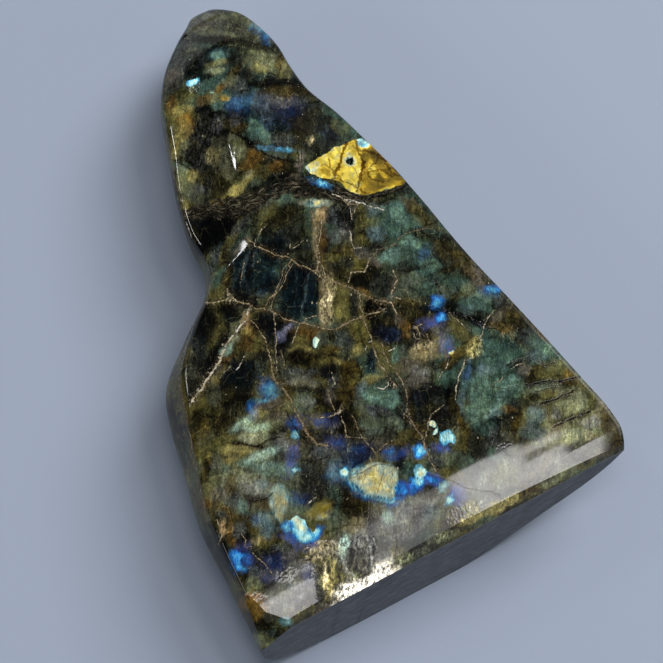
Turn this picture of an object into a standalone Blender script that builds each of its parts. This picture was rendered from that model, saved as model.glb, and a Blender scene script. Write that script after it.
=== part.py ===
"""A polished freeform of labradorite, lying on its back: one stone, 156 mm long.

The stone is made as it would be cut. A body is lofted through cross-sections that run
from the wide base to the narrow head, and flat faces are then sawn and ground on it.
Sizes in the tables are millimetres: X runs along the base, Y from the sawn base to the
head, and Z up from the floor. The object itself is in metres.
"""

import math

import bmesh
import bpy
from mathutils import Vector

MM = 0.001

# The shape, row by row from below the saw cut to the tip of the head: y, then x and z of
# the front face's left edge and right edge, how far the front is crowned between them,
# the height of the back above the floor, how far the left wall bellies out, and how much
# of the section is the head's lens (1) instead of the body's wedge (0).
ROWS = (
    (-7.0, -48.4, 24.6, 42.0, 24.6, 0.8, 0.0, 1.0, 0.0),
    (2.5, -48.5, 27.2, 48.2, 27.0, 1.0, 0.0, 0.9, 0.0),
    (9.7, -48.5, 28.2, 48.7, 28.0, 1.0, 0.0, 0.6, 0.0),
    (19.0, -48.1, 28.9, 47.0, 28.8, 1.1, 0.0, 0.6, 0.0),
    (33.0, -46.6, 29.3, 44.5, 29.2, 1.2, 0.0, 1.7, 0.0),
    (47.0, -42.5, 29.3, 41.9, 29.2, 1.3, 0.0, 2.8, 0.05),
    (58.0, -38.9, 29.2, 39.8, 29.0, 1.3, 0.0, 4.2, 0.1),
    (67.5, -34.8, 29.0, 38.4, 28.8, 1.3, 0.0, 4.8, 0.2),
    (75.7, -27.2, 28.8, 37.4, 28.6, 1.3, 0.0, 3.4, 0.35),
    (82.9, -19.6, 28.5, 36.4, 28.3, 1.3, 0.0, 1.7, 0.5),
    (90.0, -17.1, 28.1, 35.3, 28.0, 1.4, 0.0, -0.1, 0.65),
    (99.5, -16.9, 27.4, 33.2, 27.6, 1.6, 0.0, -0.7, 0.8),
    (110.0, -14.5, 26.9, 30.7, 27.0, 1.9, 0.0, -0.5, 0.9),
    (119.5, -11.0, 26.5, 27.6, 26.5, 2.2, 0.0, 0.0, 1.0),
    (127.5, -8.4, 26.3, 27.0, 26.1, 2.3, 0.2, 0.1, 1.0),
    (135.0, -5.6, 25.8, 27.1, 25.8, 2.1, 1.0, 0.1, 1.0),
    (142.0, -0.9, 25.0, 25.9, 25.0, 1.7, 2.6, 0.0, 1.0),
    (148.0, 5.3, 23.8, 24.0, 23.8, 1.2, 5.2, 0.0, 1.0),
    (151.9, 10.0, 22.2, 21.2, 22.2, 0.7, 8.6, 0.0, 1.0),
    (154.6, 12.8, 20.2, 18.2, 20.2, 0.3, 12.6, 0.0, 1.0),
    (155.6, 15.4, 17.0, 15.4, 17.0, 0.0, 17.0, 0.0, 1.0),
)

# The back of a section, from the left edge round to the right edge, as a share of the
# section's width and of its depth below the front.
BODY_BACK = (
    (0.0, 0.0), (-0.006, 0.2), (-0.008, 0.42), (0.0, 0.62), (0.028, 0.79), (0.12, 0.925),
    (0.27, 1.0), (0.4, 1.03), (0.54, 1.0), (0.66, 0.85), (0.77, 0.66), (0.88, 0.47),
    (0.955, 0.25), (1.0, 0.0),
)
HEAD_BACK = (
    (0.0, 0.0), (-0.012, 0.18), (-0.008, 0.38), (0.03, 0.6), (0.1, 0.79), (0.21, 0.93),
    (0.34, 1.01), (0.48, 1.035), (0.62, 1.01), (0.76, 0.92), (0.89, 0.75), (0.975, 0.52),
    (1.01, 0.25), (1.0, 0.0),
)

# The scoop that the notch's wheel left in the front: it starts along a straight ridge and
# deepens towards the notch in the left side.
RIDGE_FOOT = (-21.0, 82.6)
RIDGE_HEAD = (9.0, 92.6)
SCOOP_DEPTH = 2.4
SCOOP_REACH = 8.0
SCOOP_CENTRE = (-19.0, 96.0)
SCOOP_RADIUS = 20.0

# A low swell on the head, and a shallow dip beside it.
HEAD_SWELL = (14.0, 116.0, 15.0, 0.7)
HEAD_DIP = (-1.0, 110.0, 8.0, -0.6)
BELLY_DIP = (-10.0, 52.0, 20.0, -0.35)

EDGE_RADIUS = 1.3
BASE_CHAMFER = 2.5
FRONT_AT_BASE = 28.1

# The small flats ground on the corners and on the head: a point of each and its normal.
FACETS = (
    ((-45.9, 5.1, 27.9), (-0.72, -0.26, 0.64)),
    ((-43.0, 2.5, 27.7), (-0.53, -0.58, 0.62)),
    ((48.9, 0.0, 26.0), (0.8, -0.55, 0.25)),
    ((14.0, 146.0, 26.0), (0.02, 0.24, 0.97)),
)

STATIONS = 66
FRONT_POINTS = 17
EDGE_POINTS = 3
BACK_POINTS = 34

STONE_COLOUR = (0.055, 0.062, 0.045, 1.0)


def through(values, position):
    """Value at a fractional position along a list, on a smooth curve through all of it."""
    last = len(values) - 1
    index = min(int(position), last - 1)
    t = position - index
    near = [values[min(max(index + step, 0), last)] for step in (-1, 0, 1, 2)]
    if index == 0:
        near[0] = 2 * near[1] - near[2]
    return 0.5 * (
        2 * near[1]
        + (near[2] - near[0]) * t
        + (2 * near[0] - 5 * near[1] + 4 * near[2] - near[3]) * t**2
        + (3 * near[1] - near[0] - 3 * near[2] + near[3]) * t**3
    )


COLUMNS = list(zip(*ROWS))


def row_at(position):
    return [through(column, position) for column in COLUMNS]


def smooth(value):
    value = min(max(value, 0.0), 1.0)
    return value * value * (3 - 2 * value)


def swell(x, y, place):
    centre_x, centre_y, radius, height = place
    reach = math.hypot(x - centre_x, y - centre_y) / radius
    return height * math.exp(-reach * reach)


def scoop(x, y):
    """Depth of the notch's scoop below the front, zero right of the ridge."""
    along_x = RIDGE_HEAD[0] - RIDGE_FOOT[0]
    along_y = RIDGE_HEAD[1] - RIDGE_FOOT[1]
    length = math.hypot(along_x, along_y)
    past = (along_x * (y - RIDGE_FOOT[1]) - along_y * (x - RIDGE_FOOT[0])) / length
    if past <= 0:
        return 0.0
    near = math.hypot(x - SCOOP_CENTRE[0], y - SCOOP_CENTRE[1]) / SCOOP_RADIUS
    return SCOOP_DEPTH * past / (SCOOP_REACH + past) * math.exp(-near * near)


def front_height(x, y, row):
    _, left, left_z, right, right_z, crown, _, _, _ = row
    across = min(max((x - left) / max(right - left, 1e-6), 0.0), 1.0)
    height = left_z + (right_z - left_z) * across + crown * 4 * across * (1 - across)
    fade = smooth((right - left) / 12)
    bumps = sum(swell(x, y, place) for place in (HEAD_SWELL, HEAD_DIP, BELLY_DIP))
    return height + fade * (bumps - scoop(x, y))


def back_point(share, row):
    """A point of the back, share 0 at the left edge and 1 at the right edge."""
    y, left, _, right, _, _, back_z, belly, lens = row
    position = share * (len(BODY_BACK) - 1)
    body = [through(column, position) for column in zip(*BODY_BACK)]
    head = [through(column, position) for column in zip(*HEAD_BACK)]
    across, depth = (b + (h - b) * lens for b, h in zip(body, head))
    width = right - left
    x = left + width * across
    x -= belly * math.sin(math.pi * min(max(depth / 0.85, 0.0), 1.0)) * smooth(1.4 - share * 4)
    top = front_height(x, y, row)
    return x, y, top + (back_z - top) * depth


def between(a, b, t):
    return tuple(p + (q - p) * t for p, q in zip(a, b))


def rounded(before, corner, after, count):
    """Points along the rounded edge from before to after, pulled towards the corner."""
    points = []
    for step in range(count):
        t = (step + 1) / (count + 1)
        points.append(between(between(before, corner, t), between(corner, after, t), t))
    return points


def section(position):
    """The closed section at a fractional row, as a ring of points in millimetres."""
    row = row_at(position)
    y, left, _, right = row[:4]
    radius = min(EDGE_RADIUS, 0.2 * (right - left))
    front = []
    for step in range(FRONT_POINTS):
        t = step / (FRONT_POINTS - 1)
        x = left + radius + (right - left - 2 * radius) * t
        front.append((x, y, front_height(x, y, row)))
    first_share = 0.35 / (len(BODY_BACK) - 1)
    back = []
    for step in range(BACK_POINTS):
        share = 1 - first_share - (1 - 2 * first_share) * step / (BACK_POINTS - 1)
        back.append(back_point(share, row))
    right_corner = (right, y, front_height(right, y, row))
    left_corner = (left, y, front_height(left, y, row))
    right_edge = rounded(front[-1], right_corner, back[0], EDGE_POINTS)
    left_edge = rounded(back[-1], left_corner, front[0], EDGE_POINTS)
    return front + right_edge + back + left_edge


def loft():
    """The body before it is cut: rings of points joined from the base to the tip."""
    mesh = bmesh.new()
    last = len(ROWS) - 1
    rings = []
    for station in range(STATIONS):
        ring = section(last * station / STATIONS)
        rings.append([mesh.verts.new(point) for point in ring])
    for ring, following in zip(rings, rings[1:]):
        for index in range(len(ring)):
            after = (index + 1) % len(ring)
            mesh.faces.new((ring[index], ring[after], following[after], following[index]))
    tip_row = ROWS[-1]
    tip = mesh.verts.new((tip_row[1], tip_row[0], tip_row[2]))
    for index, vertex in enumerate(rings[-1]):
        mesh.faces.new((vertex, rings[-1][(index + 1) % len(rings[-1])], tip))
    mesh.faces.new(rings[0][::-1])
    return mesh


def cut(mesh, point, normal):
    """Cuts away what lies beyond a plane and closes the mesh with a flat face."""
    everything = mesh.verts[:] + mesh.edges[:] + mesh.faces[:]
    made = bmesh.ops.bisect_plane(
        mesh, geom=everything, dist=1e-4, plane_co=point, plane_no=normal, clear_outer=True
    )
    rim = [item for item in made["geom_cut"] if isinstance(item, bmesh.types.BMEdge)]
    bmesh.ops.contextual_create(mesh, geom=rim)


def stone_material():
    material = bpy.data.materials.new("labradorite")
    material.use_nodes = True
    shader = material.node_tree.nodes["Principled BSDF"]
    shader.inputs["Base Color"].default_value = STONE_COLOUR
    shader.inputs["Roughness"].default_value = 0.12
    shader.inputs["Metallic"].default_value = 0.0
    material.diffuse_color = STONE_COLOUR
    return material


def make_stone():
    mesh = loft()
    cut(mesh, (0, 0, 0), (0, -1, 0))
    cut(mesh, (0, 0, 0), (0, 0, -1))
    cut(mesh, (0, BASE_CHAMFER, FRONT_AT_BASE), (0, -1, 1))
    for point, normal in FACETS:
        cut(mesh, point, normal)
    bmesh.ops.dissolve_degenerate(mesh, dist=0.02, edges=mesh.edges[:])
    bmesh.ops.triangulate(mesh, faces=mesh.faces[:])
    low = [min(v.co[axis] for v in mesh.verts) for axis in range(3)]
    high = [max(v.co[axis] for v in mesh.verts) for axis in range(3)]
    middle = Vector(((low[0] + high[0]) / 2, (low[1] + high[1]) / 2, low[2]))
    for vertex in mesh.verts:
        vertex.co = (vertex.co - middle) * MM
    data = bpy.data.meshes.new("stone")
    mesh.to_mesh(data)
    mesh.free()
    data.materials.append(stone_material())
    data.shade_smooth()
    data.set_sharp_from_angle(angle=math.radians(22))
    stone = bpy.data.objects.new("stone", data)
    bpy.context.scene.collection.objects.link(stone)
    return stone


def main():
    for item in list(bpy.data.objects):
        bpy.data.objects.remove(item)
    make_stone()


main()
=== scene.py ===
"""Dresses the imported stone: its surface, colours, cracks, flashes, light and camera.

The stone is lofted again from the same sizes as its solid, with far more points, and its
markings are placed by pixels of the photo's 663 pixel frame. Each point of the surface is
followed to that frame through the camera. Points that face away from it drift sideways, so
the hidden sides have markings of the same kinds in places of their own.
"""

import itertools
import math

import bmesh
import bpy
import numpy as np
from mathutils import Matrix, Vector
from mathutils.kdtree import KDTree


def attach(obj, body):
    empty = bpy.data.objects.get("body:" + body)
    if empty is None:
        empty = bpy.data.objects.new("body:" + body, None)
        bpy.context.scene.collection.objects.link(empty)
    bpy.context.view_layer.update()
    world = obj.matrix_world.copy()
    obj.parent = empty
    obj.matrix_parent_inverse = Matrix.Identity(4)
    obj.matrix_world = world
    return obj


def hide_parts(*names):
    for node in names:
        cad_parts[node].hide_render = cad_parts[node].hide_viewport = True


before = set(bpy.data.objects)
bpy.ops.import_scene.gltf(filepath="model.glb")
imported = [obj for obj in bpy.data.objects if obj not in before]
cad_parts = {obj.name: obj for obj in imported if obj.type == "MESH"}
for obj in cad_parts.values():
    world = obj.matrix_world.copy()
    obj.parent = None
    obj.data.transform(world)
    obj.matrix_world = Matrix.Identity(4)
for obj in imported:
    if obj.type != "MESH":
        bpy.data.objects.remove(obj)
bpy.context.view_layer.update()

MM = 0.001

# The form, in millimetres, as the solid has it. A row holds y, then x and z of the front's
# left edge and right edge, the front's crown, the height of the back, the left wall's belly,
# and how much of the section is the head's lens.
ROWS = (
    (-7.0, -48.4, 24.6, 42.0, 24.6, 0.8, 0.0, 1.0, 0.0),
    (2.5, -48.5, 27.2, 48.2, 27.0, 1.0, 0.0, 0.9, 0.0),
    (9.7, -48.5, 28.2, 48.7, 28.0, 1.0, 0.0, 0.6, 0.0),
    (19.0, -48.1, 28.9, 47.0, 28.8, 1.1, 0.0, 0.6, 0.0),
    (33.0, -46.6, 29.3, 44.5, 29.2, 1.2, 0.0, 1.7, 0.0),
    (47.0, -42.5, 29.3, 41.9, 29.2, 1.3, 0.0, 2.8, 0.05),
    (58.0, -38.9, 29.2, 39.8, 29.0, 1.3, 0.0, 4.2, 0.1),
    (67.5, -34.8, 29.0, 38.4, 28.8, 1.3, 0.0, 4.8, 0.2),
    (75.7, -27.2, 28.8, 37.4, 28.6, 1.3, 0.0, 3.4, 0.35),
    (82.9, -19.6, 28.5, 36.4, 28.3, 1.3, 0.0, 1.7, 0.5),
    (90.0, -17.1, 28.1, 35.3, 28.0, 1.4, 0.0, -0.1, 0.65),
    (99.5, -16.9, 27.4, 33.2, 27.6, 1.6, 0.0, -0.7, 0.8),
    (110.0, -14.5, 26.9, 30.7, 27.0, 1.9, 0.0, -0.5, 0.9),
    (119.5, -11.0, 26.5, 27.6, 26.5, 2.2, 0.0, 0.0, 1.0),
    (127.5, -8.4, 26.3, 27.0, 26.1, 2.3, 0.2, 0.1, 1.0),
    (135.0, -5.6, 25.8, 27.1, 25.8, 2.1, 1.0, 0.1, 1.0),
    (142.0, -0.9, 25.0, 25.9, 25.0, 1.7, 2.6, 0.0, 1.0),
    (148.0, 5.3, 23.8, 24.0, 23.8, 1.2, 5.2, 0.0, 1.0),
    (151.9, 10.0, 22.2, 21.2, 22.2, 0.7, 8.6, 0.0, 1.0),
    (154.6, 12.8, 20.2, 18.2, 20.2, 0.3, 12.6, 0.0, 1.0),
    (155.6, 15.4, 17.0, 15.4, 17.0, 0.0, 17.0, 0.0, 1.0),
)
# The back of a section, from the left edge round to the right edge, as shares of the
# section's width and of its depth below the front: the body's and the head's.
BODY_BACK = (
    (0.0, 0.0), (-0.006, 0.2), (-0.008, 0.42), (0.0, 0.62), (0.028, 0.79), (0.12, 0.925),
    (0.27, 1.0), (0.4, 1.03), (0.54, 1.0), (0.66, 0.85), (0.77, 0.66), (0.88, 0.47),
    (0.955, 0.25), (1.0, 0.0),
)
HEAD_BACK = (
    (0.0, 0.0), (-0.012, 0.18), (-0.008, 0.38), (0.03, 0.6), (0.1, 0.79), (0.21, 0.93),
    (0.34, 1.01), (0.48, 1.035), (0.62, 1.01), (0.76, 0.92), (0.89, 0.75), (0.975, 0.52),
    (1.01, 0.25), (1.0, 0.0),
)
# The scoop that the notch's wheel left in the front: it starts along a straight ridge and
# deepens towards the notch in the left side.
RIDGE_FOOT = (-21.0, 82.6)
RIDGE_HEAD = (9.0, 92.6)
SCOOP_DEPTH = 2.4
SCOOP_REACH = 8.0
SCOOP_CENTRE = (-19.0, 96.0)
SCOOP_RADIUS = 20.0
# A low swell and dips of the front: middle x and y, radius, height.
HEAD_SWELL = (14.0, 116.0, 15.0, 0.7)
HEAD_DIP = (-1.0, 110.0, 8.0, -0.6)
BELLY_DIP = (-10.0, 52.0, 20.0, -0.35)
# The rounded edge round the front, the chamfer along the base, and small flats ground on
# the corners and on the head: a point on each and the way it faces.
EDGE_RADIUS = 1.3
BASE_CHAMFER = 2.5
FRONT_AT_BASE = 28.1
CORNER_FACETS = (
    ((-45.9, 5.1, 27.9), (-0.72, -0.26, 0.64)),
    ((-43.0, 2.5, 27.7), (-0.53, -0.58, 0.62)),
    ((48.9, 0.0, 26.0), (0.8, -0.55, 0.25)),
)
HEAD_FACET = ((14.0, 146.0, 26.0), (0.02, 0.24, 0.97))

# How fine the surface is: sections, and points along a section's front, edges and back.
STATIONS = 335
FRONT_POINTS = 185
EDGE_POINTS = 6
BACK_POINTS = 62

# The camera: how high it stands, how far round from the stone's base, and how far, in
# metres, from the point at the middle of the picture, where the scale is PX_PER_M.
FRAME_PX = 663
MIDDLE_PX = FRAME_PX / 2
ELEVATION = math.radians(67.0)
TURN = math.radians(29.0)
DISTANCE = 0.60
PX_PER_M = 4205.0
PX_PER_MM = PX_PER_M * MM
TARGET = np.array((0.0014, -0.0191, 0.028))

TOWARDS = np.array(
    (
        -math.sin(TURN) * math.cos(ELEVATION),
        -math.cos(TURN) * math.cos(ELEVATION),
        math.sin(ELEVATION),
    )
)
RIGHT = np.array((math.cos(TURN), -math.sin(TURN), 0.0))
UP = np.cross(TOWARDS, RIGHT)


def pixels_of(points):
    """Where points of the row frame, in metres, fall in the picture."""
    from_camera = points - (TARGET + TOWARDS * DISTANCE)
    depth = -(from_camera @ TOWARDS)
    zoom = PX_PER_M * DISTANCE / depth
    x = MIDDLE_PX + zoom * (from_camera @ RIGHT)
    y = MIDDLE_PX - zoom * (from_camera @ UP)
    return np.stack((x, y), -1)


# The colours of the rock in daylight: red, green and blue from 0 to 255.
PALETTE = {
    "black": (12, 13, 14),
    "ink": (20, 25, 34),
    "charcoal": (40, 42, 40),
    "slate": (68, 74, 76),
    "ash": (106, 107, 102),
    "pebble": (90, 84, 74),
    "plum": (80, 80, 82),
    "bark": (48, 43, 24),
    "umber": (76, 64, 28),
    "rust": (98, 74, 34),
    "amber": (136, 104, 42),
    "moss": (50, 48, 26),
    "drab": (74, 76, 62),
    "olive": (88, 84, 46),
    "straw": (138, 128, 76),
    "sand": (130, 120, 88),
    "sage": (108, 112, 82),
    "mist": (130, 134, 106),
    "fern": (82, 92, 78),
    "pine": (54, 76, 70),
    "teal": (66, 90, 82),
    "lagoon": (88, 116, 104),
    "frost": (142, 172, 158),
    "abyss": (14, 28, 36),
    "petrol": (24, 46, 55),
    "steel": (84, 104, 108),
    "denim": (50, 76, 108),
    "navy": (24, 36, 62),
    "lilac": (126, 126, 156),
    "tan": (156, 128, 92),
    "rose": (150, 118, 104),
    "cream": (224, 210, 168),
    # This white is partly pale crumbly rock and partly a painted highlight by the base.
    "white_and_glint": (255, 248, 228),
}

# Patches of rock, in the order that they are laid: middle x and y, half length and half
# width in pixels, turn in degrees clockwise, colour, strength.
HEAD_PATCHES = (
    (350, 161, 7, 6, 0, "abyss", 1.0),
    (230, 25, 52, 17, 12, "drab", 0.9),
    (200, 22, 24, 12, -35, "pebble", 0.5),
    (214, 33, 32, 4, 6, "sage", 0.35),
    (250, 22, 18, 4, 25, "sage", 0.3),
    (212, 17, 22, 3, 0, "sage", 0.25),
    (222, 40, 36, 4, 5, "charcoal", 0.8),
    (246, 46, 26, 5, 8, "moss", 0.5),
    (178, 64, 36, 11, 113, "slate", 0.75),
    (172, 78, 9, 10, 0, "pebble", 0.6),
    (192, 50, 12, 8, -40, "drab", 0.5),
    (194, 66, 11, 9, -40, "black", 0.85),
    (210, 51, 15, 5, -20, "black", 0.85),
    (205, 60, 8, 6, 0, "charcoal", 0.7),
    (218, 54, 9, 4, -10, "lagoon", 0.7),
    (217, 63, 13, 4, -20, "straw", 0.4),
    (215, 71, 10, 4, -15, "mist", 0.7),
    (205, 76, 8, 4, -10, "ink", 0.7),
    (232, 76, 15, 4, -50, "umber", 0.75),
    (222, 87, 9, 3, -35, "amber", 0.65),
    (213, 97, 9, 5, -20, "straw", 0.45),
    (225, 98, 6, 2.4, 0, "amber", 0.8),
    (203, 100, 8, 5, -15, "rust", 0.7),
    (203, 109, 10, 4, -10, "black", 0.9),
    (172, 106, 6, 9, 10, "rust", 0.75),
    (180, 112, 13, 6, -20, "straw", 0.7),
    (187, 93, 8, 6, 0, "olive", 0.6),
    (240, 58, 14, 8, 10, "charcoal", 0.65),
    (238, 84, 13, 7, -10, "slate", 0.75),
    (229, 81, 8, 4, -20, "sage", 0.5),
    (268, 62, 20, 11, 20, "sage", 0.9),
    (258, 68, 10, 5, -10, "straw", 0.3),
    (285, 72, 7, 14, 15, "straw", 0.35),
    (280, 63, 3, 12, 12, "umber", 0.7),
    (273, 40, 10, 6, 30, "drab", 0.7),
    (247, 76, 7, 6, 20, "charcoal", 0.75),
    (275, 83, 28, 4, -5, "black", 0.9),
    (280, 92, 24, 6, 0, "umber", 0.75),
    (300, 90, 9, 6, 40, "bark", 0.7),
    (272, 104, 22, 9, 10, "plum", 0.85),
    (240, 103, 14, 7, -20, "denim", 0.85),
    (250, 119, 14, 10, 60, "petrol", 0.85),
    (258, 131, 15, 9, 40, "lagoon", 0.85),
    (246, 134, 7, 9, 40, "teal", 0.6),
    (286, 118, 12, 13, -30, "navy", 0.75),
    (298, 112, 9, 9, 0, "ink", 0.85),
    (276, 128, 10, 7, 0, "petrol", 0.6),
    (288, 104, 11, 5, -30, "plum", 0.6),
    (284, 140, 14, 6, 0, "slate", 0.6),
    (304, 106, 11, 7, 30, "slate", 0.6),
    (266, 116, 8, 14, 0, "denim", 0.4),
    (300, 124, 11, 11, 0, "bark", 0.7),
    (318, 118, 12, 8, 40, "bark", 0.6),
    (326, 126, 14, 8, 40, "charcoal", 0.8),
    (328, 136, 9, 7, 0, "navy", 0.5),
    (339, 127, 9, 6, 40, "olive", 0.5),
    (318, 147, 16, 8, -10, "charcoal", 0.8),
    (184, 122, 6, 11, 20, "amber", 0.75),
    (191, 126, 4, 9, 10, "amber", 0.5),
    (180, 141, 10, 17, 12, "straw", 0.7),
    (186, 150, 6, 10, 20, "fern", 0.6),
    (170, 134, 4, 20, 0, "olive", 0.7),
    (206, 130, 14, 22, 20, "charcoal", 0.9),
    (199, 160, 17, 11, 15, "charcoal", 0.9),
    (215, 114, 9, 4, 0, "black", 0.9),
    (218, 123, 6, 10, 0, "plum", 0.5),
    (229, 122, 6, 13, 10, "moss", 0.7),
    (223, 136, 6, 6, 0, "black", 0.8),
    (240, 128, 9, 5, -20, "umber", 0.7),
    (236, 119, 5, 7, 0, "plum", 0.6),
    (247, 142, 17, 4, 32, "black", 0.9),
    (226, 150, 19, 14, 0, "drab", 0.8),
    (213, 155, 8, 9, 0, "straw", 0.3),
    (240, 152, 8, 10, 0, "sage", 0.65),
    (235, 139, 8, 5, 10, "sage", 0.5),
)
SHOULDER_PATCHES = (
    (255, 160, 9, 13, 0, "rust", 0.9),
    (262, 156, 7, 6, 0, "umber", 0.5),
    (248, 168, 9, 6, 0, "rust", 0.6),
    (262, 173, 10, 8, 0, "olive", 0.7),
    (272, 151, 14, 5, 15, "fern", 0.6),
    (278, 166, 10, 5, -10, "rust", 0.85),
    (291, 168, 9, 8, 0, "bark", 0.8),
    (262, 184, 12, 6, 0, "fern", 0.6),
    (181, 168, 8, 7, 60, "lagoon", 0.65),
    (186, 181, 15, 10, 60, "sage", 0.8),
    (192, 176, 8, 6, 20, "straw", 0.5),
    (200, 195, 13, 12, 0, "drab", 0.85),
    (201, 190, 6, 5, 0, "slate", 0.5),
    (213, 178, 9, 10, 0, "moss", 0.75),
    (209, 190, 5, 13, 0, "charcoal", 0.6),
    (226, 172, 12, 8, 0, "drab", 0.7),
    (222, 190, 9, 8, 0, "moss", 0.7),
    (256, 191, 9, 5, -25, "black", 0.8),
    (238, 188, 22, 3.8, -43, "straw", 0.9),
    (219, 203, 6, 4, -20, "amber", 0.9),
    (246, 176, 7, 3, -43, "mist", 0.5),
    (250, 201, 14, 8, -20, "sand", 0.4),
    (276, 180, 16, 5, -20, "black", 0.85),
    (298, 182, 14, 6, -10, "charcoal", 0.9),
    (300, 162, 11, 3.5, 100, "pebble", 0.95),
    (312, 140, 6, 2.6, -70, "sand", 0.75),
    (294, 176, 6, 4, 0, "pebble", 0.75),
    (185, 205, 10, 5, 68, "straw", 0.5),
    (212, 232, 24, 18, 0, "black", 0.97),
    (197, 224, 9, 6, 0, "ink", 0.7),
    (232, 219, 12, 8, 0, "black", 0.9),
    (200, 246, 9, 14, 0, "black", 0.9),
    (194, 236, 4, 9, -10, "moss", 0.7),
    # This olive streak beside the ridge is a painted reflection of a second facet.
    (233, 236, 22, 4, -60, "olive", 0.85),
    (240, 226, 12, 4, -50, "slate", 0.6),
    (224, 258, 5, 10, 30, "umber", 0.7),
    # This slate streak in the scoop is a painted reflection of grey.
    (213, 262, 15, 4.5, -68, "slate", 0.75),
    (218, 278, 12, 4.5, -50, "teal", 0.8),
    (228, 276, 5, 14, 15, "umber", 0.75),
    (262, 206, 14, 5, -35, "slate", 0.5),
    (275, 222, 24, 8, -38, "moss", 0.85),
    (262, 224, 14, 3, -50, "olive", 0.7),
    (292, 216, 16, 10, 0, "moss", 0.8),
    (285, 236, 18, 9, -20, "charcoal", 0.85),
    (243, 246, 12, 4, -45, "sand", 0.6),
)
BLOCK_PATCHES = (
    (240, 268, 22, 8, -80, "petrol", 0.85),
    (252, 262, 22, 5, -80, "ink", 0.85),
    (243, 292, 6, 8, 0, "ink", 0.8),
    (262, 276, 20, 11, -65, "petrol", 0.8),
    (268, 252, 16, 8, 20, "black", 0.75),
    (260, 292, 6, 5, -50, "denim", 0.4),
    (265, 281, 9, 7, -50, "petrol", 0.9),
    (275, 245, 9, 9, 0, "abyss", 0.8),
    (290, 250, 7, 5, 0, "abyss", 0.7),
    (303, 245, 10, 8, 0, "abyss", 0.7),
    (303, 255, 9, 6, 0, "moss", 0.5),
    (250, 303, 12, 5, 5, "ink", 0.85),
    (300, 291, 22, 30, 0, "abyss", 0.95),
    (292, 300, 10, 20, 5, "petrol", 0.5),
    (312, 298, 8, 18, 0, "petrol", 0.55),
    (246, 264, 17, 2, -76, "steel", 0.6),
    (239, 272, 14, 1.8, -72, "steel", 0.4),
    (256, 256, 12, 1.6, -78, "steel", 0.3),
    (305, 297, 22, 1.6, -80, "steel", 0.36),
    (296, 292, 16, 1.4, -84, "steel", 0.3),
    (273, 285, 8, 6, -60, "ink", 0.7),
    (268, 326, 15, 14, 0, "ink", 0.95),
    (286, 330, 7, 14, 0, "ink", 0.85),
    (284, 333, 12, 5, -50, "lilac", 0.45),
    (232, 320, 9, 7, 0, "abyss", 0.9),
    (214, 318, 9, 12, 0, "moss", 0.55),
    (226, 309, 10, 6, 0, "black", 0.9),
    (209, 308, 6, 8, 0, "moss", 0.7),
    (318, 240, 4, 28, -3, "sand", 0.7),
    (323, 244, 5, 15, 0, "rust", 0.9),
    (325, 262, 6, 12, 0, "pebble", 0.6),
    (323, 214, 6, 10, 0, "tan", 0.6),
    (334, 216, 9, 9, 0, "slate", 0.8),
    (346, 217, 9, 13, 0, "charcoal", 0.85),
    (338, 236, 13, 9, -20, "plum", 0.6),
    (332, 262, 14, 12, 0, "olive", 0.75),
    (334, 266, 7, 6, 0, "charcoal", 0.85),
    (346, 263, 6, 7, 0, "charcoal", 0.8),
    (342, 250, 12, 5, 0, "umber", 0.7),
    (340, 275, 12, 5, 10, "bark", 0.8),
    (358, 263, 7, 6, 0, "olive", 0.8),
    (362, 252, 9, 6, 20, "plum", 0.7),
    (328, 290, 8, 13, 10, "sand", 0.75),
    (326, 310, 7, 16, 0, "sand", 0.95),
    (327, 300, 5, 8, 0, "cream", 0.3),
    (343, 300, 9, 16, 12, "olive", 0.95),
    (340, 312, 5, 10, 15, "straw", 0.35),
    (354, 307, 5, 15, 0, "charcoal", 0.8),
    (272, 262, 52, 40, 0, "ink", 0.28),
)
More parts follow.
